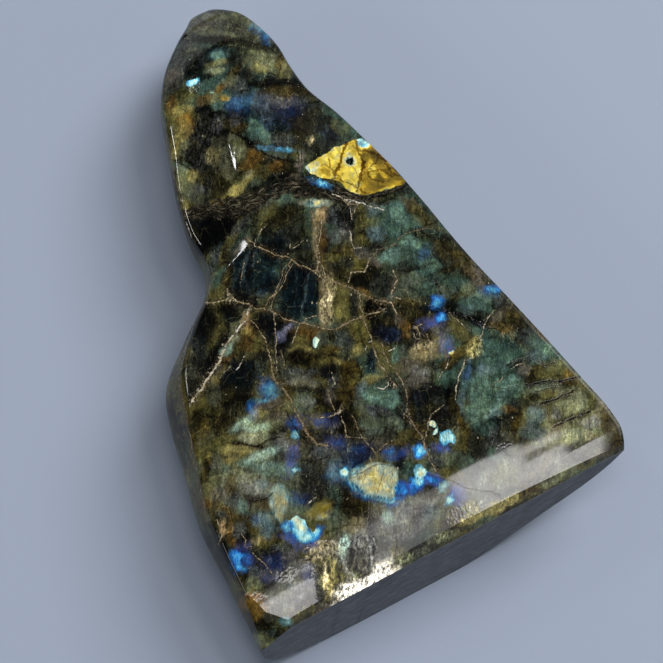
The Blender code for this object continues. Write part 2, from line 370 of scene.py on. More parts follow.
CENTRE_PATCHES = (
    (360, 281, 10, 9, 0, "black", 0.9),
    (374, 271, 11, 8, 0, "black", 0.85),
    (374, 308, 12, 10, -15, "black", 0.95),
    (382, 286, 13, 11, 0, "charcoal", 0.85),
    (364, 292, 6, 4, 20, "rust", 0.8),
    (394, 285, 4.5, 13, 15, "pebble", 0.9),
    (375, 262, 8, 4, 30, "pebble", 0.8),
    (404, 266, 9, 6, 0, "charcoal", 0.6),
    (404, 284, 8, 13, 0, "drab", 0.8),
    (376, 208, 9, 7, -10, "steel", 0.7),
    (386, 199, 15, 4, -20, "moss", 0.8),
    (400, 216, 13, 8, 20, "lagoon", 0.75),
    (375, 235, 10, 8, 0, "steel", 0.8),
    (393, 229, 8, 9, 0, "teal", 0.7),
    (362, 225, 6, 13, 0, "olive", 0.5),
    (361, 240, 8, 7, 0, "olive", 0.6),
    (412, 205, 11, 6, 30, "rust", 0.6),
    (421, 216, 13, 7, 45, "olive", 0.65),
    (432, 222, 12, 6, 45, "umber", 0.5),
    (392, 256, 11, 6, -20, "lagoon", 0.85),
    (411, 242, 12, 9, 30, "lagoon", 0.85),
    (414, 255, 13, 5, 40, "teal", 0.7),
    (423, 254, 6, 8, 0, "denim", 0.6),
    (430, 238, 16, 5, 25, "moss", 0.7),
    (441, 250, 13, 6, 45, "umber", 0.55),
    (435, 268, 12, 8, 30, "lagoon", 0.8),
    (424, 274, 9, 5, 0, "teal", 0.8),
    (418, 268, 13, 3, -15, "charcoal", 0.75),
    (415, 282, 11, 7, 0, "fern", 0.85),
    (428, 288, 9, 7, 0, "teal", 0.7),
    (452, 245, 14, 7, 45, "bark", 0.75),
    (446, 270, 16, 4, -20, "moss", 0.8),
    (462, 262, 16, 9, 45, "umber", 0.7),
    (478, 278, 14, 8, 45, "pebble", 0.85),
    (470, 272, 8, 5, 45, "umber", 0.5),
    (456, 284, 15, 8, 10, "teal", 0.75),
    (446, 292, 10, 7, 0, "fern", 0.8),
    (472, 292, 14, 7, 20, "sage", 0.55),
    (459, 297, 9, 5, -10, "olive", 0.85),
    (475, 305, 17, 8, 12, "teal", 0.9),
    (466, 311, 11, 5, 10, "steel", 0.5),
    (486, 298, 12, 6, 20, "lagoon", 0.5),
    (470, 318, 22, 3, 12, "black", 0.85),
    (482, 323, 10, 5, 10, "ink", 0.9),
    (450, 309, 5, 6, 30, "black", 0.9),
    (503, 303, 12, 6, 42, "slate", 0.75),
    (511, 316, 14, 8, 45, "umber", 0.5),
    (497, 318, 10, 6, -50, "pebble", 0.75),
    (506, 326, 16, 5, 10, "umber", 0.85),
    (518, 328, 9, 6, 45, "bark", 0.8),
    (508, 336, 7, 8, 0, "amber", 0.55),
    (518, 345, 7, 7, 0, "umber", 0.7),
    (530, 337, 13, 8, 40, "slate", 0.7),
    (527, 352, 8, 10, 0, "fern", 0.7),
    (541, 346, 13, 7, 40, "lagoon", 0.6),
    (538, 358, 9, 7, 0, "steel", 0.6),
    (540, 333, 14, 3, 48, "umber", 0.8),
    (402, 303, 20, 4, 0, "umber", 0.7),
    (412, 313, 14, 8, 0, "bark", 0.85),
    (399, 320, 4, 9, -35, "pebble", 0.75),
    (388, 320, 8, 8, 0, "bark", 0.9),
    (374, 324, 9, 8, 0, "black", 0.9),
    (389, 335, 12, 9, 0, "navy", 0.95),
    (378, 332, 7, 6, 0, "ink", 0.9),
    (406, 330, 5, 10, 0, "rust", 0.8),
    (418, 333, 8, 10, 0, "charcoal", 0.9),
    (430, 335, 8, 6, 0, "bark", 0.8),
    (433, 310, 12, 4, 10, "abyss", 0.9),
    (455, 325, 12, 6, 20, "olive", 0.8),
    (463, 335, 14, 6, 30, "olive", 0.8),
    (440, 330, 10, 5, 0, "plum", 0.5),
    (436, 344, 7, 8, 0, "sand", 0.6),
    (424, 352, 14, 9, -10, "sand", 0.85),
    (412, 366, 15, 10, 0, "pebble", 0.75),
    (422, 372, 10, 7, 0, "ash", 0.6),
    (418, 382, 13, 7, 0, "pebble", 0.7),
    (403, 350, 5, 9, 0, "fern", 0.7),
    (395, 356, 5, 9, 0, "lagoon", 0.7),
    (457, 353, 14, 7, -15, "olive", 0.95),
    (455, 354, 8, 4, -15, "amber", 0.35),
    (450, 363, 10, 5, -20, "umber", 0.85),
    (475, 347, 8, 11, 15, "straw", 0.95),
)
RIGHT_PATCHES = (
    (568, 410, 46, 34, 30, "sage", 0.8),
    (498, 366, 26, 30, 10, "teal", 0.7),
    (486, 340, 5, 12, 0, "pine", 0.9),
    (500, 352, 17, 12, 50, "teal", 0.95),
    (512, 348, 16, 7, 55, "pine", 0.9),
    (494, 366, 21, 10, 0, "teal", 0.95),
    (487, 370, 10, 7, 0, "steel", 0.75),
    (466, 376, 4, 14, 15, "denim", 0.95),
    (478, 388, 17, 13, 0, "lagoon", 0.7),
    (480, 396, 14, 6, 0, "teal", 0.7),
    (460, 400, 5, 12, 0, "steel", 0.8),
    (520, 362, 12, 5, -25, "charcoal", 0.8),
    (526, 372, 8, 9, 0, "pebble", 0.75),
    (511, 384, 15, 9, -10, "lagoon", 0.85),
    (482, 411, 20, 10, 0, "lagoon", 0.85),
    (502, 399, 17, 9, 0, "teal", 0.85),
    (493, 414, 7, 6, 0, "steel", 0.5),
    (512, 416, 9, 14, 10, "charcoal", 0.9),
    (497, 421, 6, 8, 0, "petrol", 0.6),
    (486, 428, 13, 8, 0, "pine", 0.9),
    (508, 409, 8, 3, 0, "rust", 0.6),
    (516, 425, 4, 13, 10, "umber", 0.8),
    (462, 426, 24, 3.5, 70, "umber", 0.8),
    (476, 442, 9, 14, 0, "charcoal", 0.6),
    (500, 439, 15, 13, 0, "slate", 0.5),
    (503, 444, 8, 6, 30, "charcoal", 0.7),
    (495, 455, 10, 8, 0, "teal", 0.8),
    (466, 463, 12, 8, 0, "teal", 0.6),
    (448, 380, 16, 8, -60, "teal", 0.85),
    (441, 391, 9, 5, 0, "black", 0.75),
    (451, 394, 12, 5, -70, "black", 0.9),
    (430, 394, 13, 8, 0, "charcoal", 0.85),
    (418, 398, 12, 9, 0, "ink", 0.8),
    (444, 414, 9, 12, 0, "charcoal", 0.8),
    (452, 405, 4, 12, 0, "moss", 0.8),
    (430, 410, 10, 6, 0, "moss", 0.8),
    (452, 440, 8, 9, 0, "fern", 0.7),
    (461, 440, 7, 9, 0, "olive", 0.6),
    (450, 458, 12, 9, 0, "fern", 0.8),
    (437, 462, 8, 8, 0, "slate", 0.8),
    (535, 375, 6, 12, 20, "moss", 0.8),
    (545, 371, 9, 9, 0, "olive", 0.9),
    (562, 374, 16, 10, 45, "olive", 0.85),
    (554, 366, 11, 5, -10, "sage", 0.5),
    (571, 376, 7, 5, 45, "amber", 0.35),
    (545, 385, 9, 6, 0, "fern", 0.8),
    (555, 390, 15, 4, -15, "drab", 0.6),
    (546, 395, 15, 4, -10, "olive", 0.7),
    (578, 385, 13, 4, 30, "umber", 0.65),
    (530, 404, 8, 7, 0, "charcoal", 0.6),
    (534, 396, 8, 4, 0, "moss", 0.8),
    (576, 400, 16, 9, 15, "mist", 0.6),
    (563, 400, 8, 5, -10, "sage", 0.7),
    (593, 400, 4, 13, -8, "olive", 0.65),
    (602, 408, 6, 10, -30, "pebble", 0.6),
    (554, 413, 9, 7, 10, "ash", 0.75),
    (568, 411, 10, 5, 30, "sage", 0.85),
    (536, 416, 9, 9, 0, "steel", 0.65),
    (549, 408, 3, 12, 0, "olive", 0.8),
    (582, 413, 12, 3, -8, "olive", 0.8),
    (601, 417, 8, 10, 0, "sand", 0.4),
    (607, 424, 5, 10, -25, "umber", 0.7),
    (590, 422, 12, 5, 0, "ash", 0.8),
    (556, 430, 12, 9, 0, "sand", 0.5),
    (546, 428, 6, 7, 0, "mist", 0.5),
    (578, 435, 15, 7, 0, "mist", 0.8),
    (590, 436, 8, 4, 0, "sand", 0.5),
    (592, 443, 12, 4, -20, "pebble", 0.6),
    (561, 442, 16, 7, -10, "mist", 0.7),
    (532, 432, 12, 8, 0, "steel", 0.6),
    (537, 445, 12, 5, -10, "sage", 0.85),
    (527, 447, 8, 3, 0, "olive", 0.9),
    (613, 431, 5, 11, -28, "pebble", 0.5),
    (617, 442, 5, 7, 0, "umber", 0.9),
    (520, 470, 60, 14, -15, "ash", 0.75),
    (505, 475, 14, 12, 0, "sage", 0.5),
    (550, 382, 28, 3.2, -3, "bark", 0.6),
    (556, 399, 20, 3.2, -20, "bark", 0.6),
    (572, 418, 20, 3.2, -18, "bark", 0.6),
    (535, 372, 14, 2.6, -35, "bark", 0.5),
    (586, 398, 3, 12, -20, "bark", 0.4),
)
LEFT_PATCHES = (
    (202, 330, 24, 10, -72, "black", 0.95),
    (196, 348, 14, 6, -72, "slate", 0.5),
    (198, 358, 12, 9, -60, "charcoal", 0.7),
    (190, 372, 8, 10, 0, "drab", 0.7),
    (192, 392, 7, 12, 0, "charcoal", 0.9),
    (218, 356, 26, 8, -62, "black", 0.92),
    (236, 326, 8, 4, -45, "mist", 0.55),
    (233, 341, 8, 5, -50, "mist", 0.85),
    (227, 350, 7, 4.5, -50, "frost", 0.8),
    (245, 322, 4, 9, 10, "tan", 0.7),
    (250, 337, 8, 13, 0, "rust", 0.75),
    (246, 331, 7, 5, 0, "straw", 0.5),
    (243, 346, 8, 6, 0, "umber", 0.85),
    (258, 346, 7, 12, 0, "olive", 0.85),
    (225, 361, 9, 5, -20, "rust", 0.75),
    (217, 371, 6, 3, -50, "pebble", 0.7),
    (213, 383, 20, 4, -48, "straw", 0.85),
    (200, 400, 14, 6, -60, "olive", 0.95),
    (193, 412, 5, 9, 10, "olive", 0.9),
    (214, 394, 9, 12, 0, "drab", 0.85),
    (240, 376, 17, 14, 0, "abyss", 0.85),
    (257, 367, 11, 8, 0, "petrol", 0.55),
    (228, 394, 8, 10, 0, "moss", 0.85),
    (240, 404, 14, 9, -30, "black", 0.8),
    (264, 356, 11, 5, 5, "ink", 0.8),
    (282, 372, 8, 16, 0, "drab", 0.85),
    (285, 388, 8, 6, 30, "umber", 0.7),
    (279, 350, 5, 8, 0, "ink", 0.8),
    (352, 341, 8, 15, 0, "olive", 0.8),
    (365, 334, 5, 12, 0, "olive", 0.8),
    (356, 350, 8, 6, 0, "straw", 0.4),
    (342, 340, 10, 10, 0, "slate", 0.85),
    (331, 336, 5, 8, 0, "moss", 0.85),
    (308, 334, 17, 8, -5, "rust", 0.85),
    (300, 342, 8, 7, 0, "olive", 0.8),
    (322, 342, 7, 9, 0, "fern", 0.7),
    (330, 350, 14, 4, 0, "umber", 0.8),
    (301, 349, 12, 3, 0, "straw", 0.6),
    (303, 358, 14, 7, 0, "black", 0.95),
    (320, 356, 22, 3, 0, "bark", 0.9),
    (335, 361, 14, 4, 0, "straw", 0.5),
    (322, 364, 13, 6, 0, "olive", 0.85),
    (315, 369, 8, 6, 45, "moss", 0.85),
    (328, 372, 7, 7, 0, "ink", 0.95),
    (300, 374, 18, 6, 0, "slate", 0.75),
    (304, 383, 20, 5, 0, "ash", 0.55),
    (336, 382, 8, 6, 0, "slate", 0.7),
    (310, 391, 22, 3.5, 0, "charcoal", 0.85),
    (304, 404, 14, 10, 0, "fern", 0.85),
    (308, 403, 6, 5, 0, "ash", 0.5),
    (323, 402, 7, 12, 0, "moss", 0.8),
    (347, 389, 11, 17, 0, "umber", 0.75),
    (350, 369, 10, 8, 0, "umber", 0.9),
    (356, 378, 8, 5, 0, "olive", 0.7),
    (372, 360, 5, 12, 15, "petrol", 0.95),
    (371, 374, 10, 5, 0, "teal", 0.6),
    (372, 379, 12, 4, -15, "straw", 0.5),
    (330, 397, 5, 9, 0, "plum", 0.65),
    (335, 405, 7, 6, 0, "black", 0.85),
    (352, 400, 7, 9, 0, "bark", 0.8),
    (363, 391, 7, 9, 0, "steel", 0.5),
    (361, 405, 9, 8, 0, "fern", 0.8),
    (376, 396, 14, 9, 15, "lagoon", 0.8),
    (393, 400, 8, 10, 0, "lagoon", 0.95),
    (380, 412, 17, 5, 12, "slate", 0.85),
    (372, 425, 13, 10, 0, "fern", 0.9),
    (395, 424, 9, 8, 0, "fern", 0.9),
    (402, 436, 13, 7, -15, "olive", 0.9),
    (397, 443, 12, 3, 0, "rust", 0.5),
    (390, 434, 5, 9, 0, "charcoal", 0.7),
    (378, 443, 7, 6, 0, "pebble", 0.6),
    (411, 414, 5, 10, 0, "moss", 0.9),
    (420, 432, 8, 9, 0, "umber", 0.8),
    (343, 422, 14, 12, 0, "black", 0.85),
    (353, 432, 10, 8, 0, "bark", 0.7),
    (330, 428, 10, 7, 0, "plum", 0.6),
    (338, 442, 9, 5, 0, "charcoal", 0.6),
    (320, 440, 12, 9, 0, "charcoal", 0.6),
    (322, 455, 14, 9, 0, "slate", 0.75),
    (308, 440, 8, 5, 40, "bark", 0.6),
    (315, 462, 8, 10, -50, "bark", 0.5),
    (212, 350, 34, 44, 10, "ink", 0.25),
)
LOWER_PATCHES = (
    (232, 470, 44, 46, 0, "sage", 0.62),
    (225, 500, 30, 26, 20, "drab", 0.6),
    (268, 404, 15, 6, -15, "pebble", 0.9),
    (277, 418, 13, 8, -10, "pebble", 0.7),
    (258, 413, 9, 5, -10, "straw", 0.55),
    (213, 417, 18, 12, 0, "moss", 0.9),
    (226, 428, 15, 10, 0, "bark", 0.85),
    (204, 432, 8, 11, 0, "umber", 0.6),
    (197, 424, 5, 10, 0, "bark", 0.85),
    (194, 445, 4, 14, -5, "umber", 0.7),
    (243, 424, 14, 5, -35, "frost", 0.5),
    (262, 427, 22, 6, -12, "sage", 0.9),
    (258, 427, 12, 4, -10, "frost", 0.4),
    (250, 439, 22, 5, -5, "mist", 0.75),
    (284, 441, 9, 10, 0, "ash", 0.75),
    (290, 437, 4, 7, 0, "olive", 0.8),
    (222, 441, 14, 6, -10, "olive", 0.9),
    (250, 445, 18, 2.5, 5, "bark", 0.95),
    (238, 450, 16, 4, 0, "straw", 0.75),
    (206, 452, 10, 10, 0, "olive", 0.85),
    (215, 461, 6, 9, 0, "slate", 0.5),
    (229, 457, 6, 7, 0, "umber", 0.5),
    (231, 460, 7, 3, 0, "straw", 0.5),
    (262, 455, 20, 5, -20, "frost", 0.55),
    (272, 468, 22, 8, 0, "lagoon", 0.8),
    (247, 464, 12, 4, 0, "lagoon", 0.75),
    (226, 468, 4, 4, 0, "lagoon", 0.4),
    (218, 481, 20, 8, -25, "sage", 0.55),
    (241, 476, 15, 8, 0, "sage", 0.6),
    (206, 470, 5, 12, 10, "umber", 0.75),
    (230, 486, 5, 12, 10, "umber", 0.8),
    (206, 492, 7, 10, 0, "olive", 0.7),
    (218, 494, 9, 6, 0, "pebble", 0.6),
    (255, 488, 16, 8, 0, "ash", 0.6),
    (236, 500, 12, 7, -20, "slate", 0.8),
    (258, 500, 18, 3, 3, "bark", 0.95),
    (266, 506, 10, 6, 0, "umber", 0.9),
    (214, 507, 15, 6, 20, "umber", 0.7),
    (206, 504, 6, 5, 0, "amber", 0.4),
    (221, 514, 6, 4, 0, "slate", 0.6),
    (236, 518, 20, 7, 38, "umber", 0.9),
    (244, 508, 6, 8, 0, "lagoon", 0.6),
    (263, 520, 10, 8, 0, "steel", 0.7),
    (270, 532, 10, 8, 0, "steel", 0.7),
    (256, 519, 5, 6, 0, "denim", 0.5),
    (216, 526, 9, 9, 0, "moss", 0.9),
    (222, 530, 3, 11, -5, "tan", 0.75),
    (222, 545, 6, 9, 0, "black", 0.95),
    (232, 534, 5, 14, -15, "rust", 0.8),
    (240, 530, 7, 7, 0, "slate", 0.8),
    (248, 541, 9, 7, 0, "ink", 0.8),
    (259, 541, 9, 5, 0, "sand", 0.7),
    (268, 545, 9, 5, 0, "olive", 0.7),
    (278, 535, 6, 5, 0, "umber", 0.8),
    (265, 555, 20, 6, 5, "charcoal", 0.85),
    (283, 548, 14, 5, 0, "slate", 0.85),
    (276, 562, 13, 8, 0, "navy", 0.85),
    (292, 556, 9, 6, 0, "plum", 0.8),
    (298, 566, 14, 8, 0, "ash", 0.8),
    (270, 575, 13, 6, 0, "plum", 0.8),
    (254, 572, 9, 8, 0, "slate", 0.8),
    (255, 586, 9, 9, 0, "sage", 0.75),
    (228, 560, 6, 14, -25, "black", 0.85),
    (240, 576, 7, 7, 0, "bark", 0.9),
    (236, 588, 5, 12, -25, "olive", 0.9),
    (254, 597, 11, 4, 0, "rose", 0.8),
    (247, 604, 9, 9, 0, "umber", 0.9),
    (287, 595, 28, 16, -28, "ash", 0.85),
    (325, 570, 4, 22, 5, "sage", 0.6),
    (300, 478, 92, 40, -8, "ash", 0.2),
)
BASE_PATCHES = (
    (340, 470, 16, 11, -20, "steel", 0.7),
    (345, 488, 12, 8, -20, "charcoal", 0.8),
    (352, 505, 20, 10, 20, "bark", 0.9),
    (334, 502, 7, 16, 0, "teal", 0.6),
    (325, 505, 9, 7, -20, "umber", 0.8),
    (314, 484, 14, 10, 0, "charcoal", 0.75),
    (312, 498, 12, 7, -20, "charcoal", 0.8),
    (337, 525, 12, 10, 0, "fern", 0.7),
    (360, 455, 18, 10, -20, "navy", 0.8),
    (400, 462, 6, 8, 0, "abyss", 0.8),
    (410, 470, 9, 9, 0, "pine", 0.9),
    (429, 467, 6, 8, 0, "pine", 0.6),
    (428, 492, 14, 7, 10, "bark", 0.85),
    (355, 545, 42, 18, -20, "ash", 0.8),
    (395, 522, 46, 20, -20, "ash", 0.9),
    (388, 518, 6, 8, 0, "frost", 0.25),
    (430, 512, 8, 8, 0, "steel", 0.5),
    (355, 525, 14, 8, 0, "sand", 0.4),
    (372, 530, 4, 16, 10, "plum", 0.7),
    (418, 516, 4, 22, 15, "plum", 0.6),
    (382, 545, 10, 10, 0, "charcoal", 0.4),
    (344, 548, 6, 12, 10, "frost", 0.85),
    (325, 552, 18, 11, -20, "sand", 0.6),
    (318, 545, 10, 5, -10, "sand", 0.7),
    (330, 572, 10, 16, 0, "olive", 0.9),
    (333, 582, 3, 18, 4, "straw", 0.8),
    (326, 578, 2, 16, 2, "cream", 0.5),
    (329, 590, 6, 14, 8, "straw", 0.8),
    # These two white patches are partly pale crumbly rock and partly a painted highlight.
    (350, 589, 15, 8, -25, "white_and_glint", 0.95),
    (338, 601, 10, 5, -30, "white_and_glint", 0.9),
    (360, 557, 12, 19, 0, "ash", 0.7),
    (358, 562, 9, 13, 0, "bark", 0.6),
    (355, 572, 7, 3, 10, "black", 0.7),
    (352, 553, 3, 12, 5, "black", 0.7),
    # These two white patches are partly pale crumbly rock and partly a painted highlight.
    (370, 582, 22, 6, -28, "white_and_glint", 0.95),
    (386, 568, 13, 9, -28, "white_and_glint", 0.95),
    (354, 575, 5, 6, 0, "sage", 0.7),
    (385, 556, 10, 6, -20, "ash", 0.8),
    (396, 556, 3, 12, 0, "olive", 0.9),
    (402, 555, 7, 5, -28, "sand", 0.8),
    (455, 518, 10, 9, -25, "umber", 0.85),
    (474, 506, 10, 6, 0, "sand", 0.7),
    (487, 501, 9, 7, 0, "ash", 0.7),
    (310, 602, 16, 6, -28, "charcoal", 0.95),
)
CHAMFER_PATCHES = (
    (300, 613, 18, 5, -26, "olive", 0.9),
    (330, 604, 16, 6, -27, "pebble", 0.8),
    (420, 550, 34, 6, -28, "drab", 0.95),
    (405, 558, 8, 5, -28, "sage", 0.9),
    (418, 547, 7, 3, -28, "black", 0.8),
    (446, 535, 14, 6, -27, "sage", 0.8),
    (455, 524, 10, 5, -27, "umber", 0.9),
    (471, 519, 12, 5, -27, "straw", 0.9),
    (500, 505, 26, 6, -27, "straw", 0.8),
    (530, 489, 12, 4, -27, "umber", 0.9),
    (557, 477, 18, 5, -27, "sage", 0.9),
    (572, 470, 12, 4, -27, "sage", 0.8),
    (585, 464, 9, 4, -27, "olive", 0.8),
    (600, 454, 12, 4, -27, "pebble", 0.8),
    (612, 448, 7, 5, -27, "umber", 0.7),
    (286, 621, 6, 4, 0, "lagoon", 0.8),
    (254, 608, 12, 16, -20, "amber", 0.7),
    (264, 624, 9, 6, 0, "bark", 0.95),
    (249, 620, 5, 12, -20, "bark", 0.8),
    (270, 618, 10, 4, 20, "drab", 0.8),
    (262, 641, 16, 8, 10, "sage", 0.9),
)
PATCHES = (
    HEAD_PATCHES + SHOULDER_PATCHES + BLOCK_PATCHES + CENTRE_PATCHES + RIGHT_PATCHES
    + LEFT_PATCHES + LOWER_PATCHES + BASE_PATCHES + CHAMFER_PATCHES
)

# Flashes. The hue runs from violet at 0 over blue, cyan and ice white at 0.5 to yellow and
# olive brown at 1; a flash goes from its rim's hue to its core's hue over some pixels.
# Spots: middle x and y, half length and width, turn, rim hue, core hue, pixels, strength.
FLASH_SPOTS = (
    (193, 83, 6.5, 2.8, -25, 0.42, 0.52, 2, 1.0),
    (260, 30, 6, 3, 20, 0.34, 0.38, 2, 0.35),
    (266, 37, 4, 5, -30, 0.28, 0.34, 3, 0.5),
    (218, 54, 8, 4, -10, 0.4, 0.42, 3, 0.08),
    (212, 92, 1.8, 1.5, 0, 0.52, 0.58, 1, 1.0),
    (226, 98, 4, 1.6, 10, 0.76, 0.84, 1, 0.5),
    (239, 104, 12, 9, -20, 0.24, 0.3, 7, 0.14),
    (252, 100, 10, 8, 0, 0.3, 0.36, 6, 0.1),
    (291, 108, 11, 8, -40, 0.16, 0.22, 6, 0.07),
    (278, 149.5, 6, 0.9, 5, 0.36, 0.39, 1, 0.85),
    (337, 472, 10, 7, -30, 0.24, 0.3, 4, 0.2),
    (316, 202.5, 13, 3.2, 0, 0.54, 0.63, 2.5, 0.6),
    (309, 203, 4, 2, 0, 0.46, 0.52, 3, 0.2),
    (322, 183.5, 6, 2.4, 15, 0.36, 0.48, 2, 0.85),
    (314, 180, 3, 2, 40, 0.34, 0.4, 2, 0.3),
    (316, 341, 3.6, 2.9, -50, 0.48, 0.53, 1.5, 1.0),
    (314.5, 346.5, 2, 1.7, 0, 0.48, 0.56, 1, 1.0),
    (437, 302, 6, 6, 0, 0.25, 0.33, 3, 0.9),
    (432, 323, 9, 4, -15, 0.06, 0.16, 4, 0.55),
    (440, 318, 6, 4, -20, 0.24, 0.35, 2.5, 1.0),
    (447, 345, 6, 8, -15, 0.04, 0.14, 5, 0.5),
    (451, 352, 2.6, 2.4, 0, 0.56, 0.64, 1, 0.9),
    (492, 290, 8, 3.6, -5, 0.3, 0.4, 3, 0.75),
    (268, 389, 8, 10, -25, 0.32, 0.38, 6, 0.36),
    (264, 400, 6, 1.6, -5, 0.42, 0.5, 2, 0.4),
    (253, 410, 3.6, 6, -15, 0.24, 0.32, 3, 0.4),
    (295, 423, 6, 7, 20, 0.16, 0.24, 3, 0.4),
    (296, 434, 4, 4, 0, 0.42, 0.48, 2, 0.5),
    (291, 459, 4.5, 11, 15, 0.08, 0.2, 4, 0.55),
    (295, 470, 3.6, 3.2, 0, 0.36, 0.46, 2, 0.95),
    (319, 421, 10, 5, -5, 0.12, 0.19, 4, 0.35),
    (336, 443, 7, 4, -5, 0.14, 0.2, 3, 0.4),
    (357, 450, 11, 5, -10, 0.18, 0.24, 4, 0.14),
    (391, 453, 7, 5, 0, 0.22, 0.3, 3, 0.55),
    (403, 452, 5, 4, 0, 0.14, 0.2, 2, 0.5),
    (421, 451, 6, 5.5, 0, 0.3, 0.42, 3, 1.0),
    (441, 448, 6, 4, 10, 0.14, 0.2, 2, 0.85),
    (432, 424, 4.5, 2.6, 10, 0.56, 0.64, 1.5, 1.0),
    (436, 432, 2.4, 2.6, 0, 0.5, 0.6, 1.5, 0.95),
    (350, 464, 12, 4, -30, 0.2, 0.3, 3, 0.12),
    (355, 471, 7, 3, -25, 0.42, 0.52, 3, 0.45),
    (401, 489, 7, 7.5, -30, 0.2, 0.32, 4, 0.95),
    (344, 472, 3.8, 3.4, 0, 0.42, 0.5, 2, 1.0),
    (415, 487, 7, 6, -25, 0.14, 0.24, 3, 0.95),
    (418, 481, 6, 4.5, -20, 0.32, 0.46, 3, 0.95),
    (420, 472, 5, 7, -12, 0.44, 0.6, 4, 0.85),
    (433, 480, 9, 5, 15, 0.14, 0.25, 3, 1.0),
    (457, 494, 9, 9, 0, 0.08, 0.16, 5, 0.6),
    (450, 500, 4.5, 3.5, -20, 0.36, 0.46, 2, 0.85),
    (443, 487, 3.5, 5, 30, 0.4, 0.46, 2, 0.5),
    (394, 501, 6, 4, -30, 0.3, 0.44, 3, 1.0),
    (387, 517, 4, 6, 0, 0.44, 0.47, 3, 0.12),
    (262, 483, 4.5, 3, -20, 0.4, 0.44, 2, 0.15),
    (298, 500, 8, 5, 10, 0.14, 0.2, 3, 0.2),
    (268, 523, 10, 9, 0, 0.3, 0.38, 6, 0.03),
    (293, 537, 10, 5.5, 28, 0.14, 0.22, 3, 0.85),
    (288, 528, 6, 5, 20, 0.28, 0.38, 3, 0.7),
    (307, 546, 7, 3, -15, 0.12, 0.2, 2, 0.8),
    (319, 509, 11, 5, -32, 0.64, 0.72, 5, 0.22),
    (323, 516, 6, 3, -20, 0.52, 0.66, 3, 0.45),
    (240, 561, 8.5, 11, -12, 0.24, 0.32, 5, 1.0),
    (246, 560, 5, 7, 0, 0.2, 0.26, 3, 0.6),
    (243, 548, 5, 4, 0, 0.1, 0.16, 3, 0.4),
    (275, 563, 13, 7, 0, 0.12, 0.2, 6, 0.12),
    (308, 575, 4.6, 8.5, -8, 0.05, 0.12, 4, 0.4),
    (268, 578, 7, 4, 0, 0.08, 0.16, 3, 0.25),
    (286, 621, 4, 3, 0, 0.4, 0.45, 2, 0.4),
)
# Sheets: rim hue, core hue, pixels, strength, then the corners.
FLASH_SHEETS = (
    (0.69, 0.72, 3, 1.0, ((305, 168), (310, 162), (320, 157), (328, 153), (333, 148), (345, 144),
        (355, 140), (362, 138), (369, 143), (364, 160), (363, 176), (360, 195), (350, 191),
        (342, 184), (333, 179), (322, 178), (312, 174))),
    (0.84, 0.88, 8, 0.95, ((363, 143), (369, 142), (378, 150), (387, 160), (394, 168), (405, 183),
        (398, 185), (390, 189), (371, 194), (360, 195), (361, 176))),
    (0.28, 0.46, 2.5, 0.5, ((343, 474), (352, 482), (360, 490), (370, 496.5), (384, 498.5),
        (396, 498), (400, 501), (392, 505.5), (376, 502), (364, 497.5), (354, 491), (345, 482))),
    (0.54, 0.58, 6, 0.55, ((349, 480), (354, 474), (362, 469), (368, 464), (376, 462), (384, 464),
        (390, 464), (397, 469), (398, 480), (395, 490), (394, 498), (386, 498), (374, 497),
        (366, 493), (358, 487))),
    (0.53, 0.58, 7, 0.36, ((270, 489), (278, 484), (284, 487), (288, 494), (289, 503), (286, 511),
        (283, 519), (279, 523), (275, 516), (271, 508), (269, 497))),
    (0.28, 0.48, 5, 1.0, ((289, 523), (296, 516), (303, 519), (308, 528), (314, 533), (317, 526),
        (323, 527), (321, 536), (313, 543), (304, 545), (297, 540), (291, 533))),
    (0.47, 0.56, 4, 1.0, ((291, 520), (297, 515), (304, 519), (308, 527), (306, 534), (298, 532),
        (293, 526))),
    (0.42, 0.5, 3, 1.0, ((439, 434), (445, 430), (449, 429), (452, 433), (456, 436), (455, 443),
        (449, 442), (444, 446), (440, 441))),
)
# Spots that only change the hue of a flash laid already, with the same values. Where the
# strength is 0 they take the flash away.
HUE_SPOTS = (
    (363, 142.5, 8, 5.5, 30, 0.44, 0.51, 4, 1.0),
    (313, 167, 9, 5, -22, 0.58, 0.66, 4, 1.0),
    (341, 174, 13, 7, 20, 0.7, 0.71, 4, 1.0),
    (350, 161, 8, 6.2, 0, 0.64, 0.56, 3, 0.9),
    (350, 161, 4.2, 3.8, 0, 0.3, 0.3, 2, 0.0),
    (386, 190, 13, 3, -24, 0.66, 0.68, 2, 0.9),
    (372, 168, 4, 11, -14, 0.7, 0.72, 3, 0.7),
    (383, 174, 3, 8, -40, 0.76, 0.74, 3, 0.7),
    (388, 480, 4, 14, -12, 0.62, 0.64, 3, 0.6),
    (374, 486, 4, 10, 25, 0.6, 0.64, 3, 0.4),
    (288, 495, 2.5, 10, -8, 0.4, 0.48, 2, 0.85),
    (283, 487, 4.5, 2.6, 10, 0.38, 0.46, 2, 0.7),
    (316, 531, 4.5, 5, 0, 0.36, 0.48, 2, 1.0),
    (305, 539, 7, 4, -10, 0.38, 0.5, 2, 1.0),
)

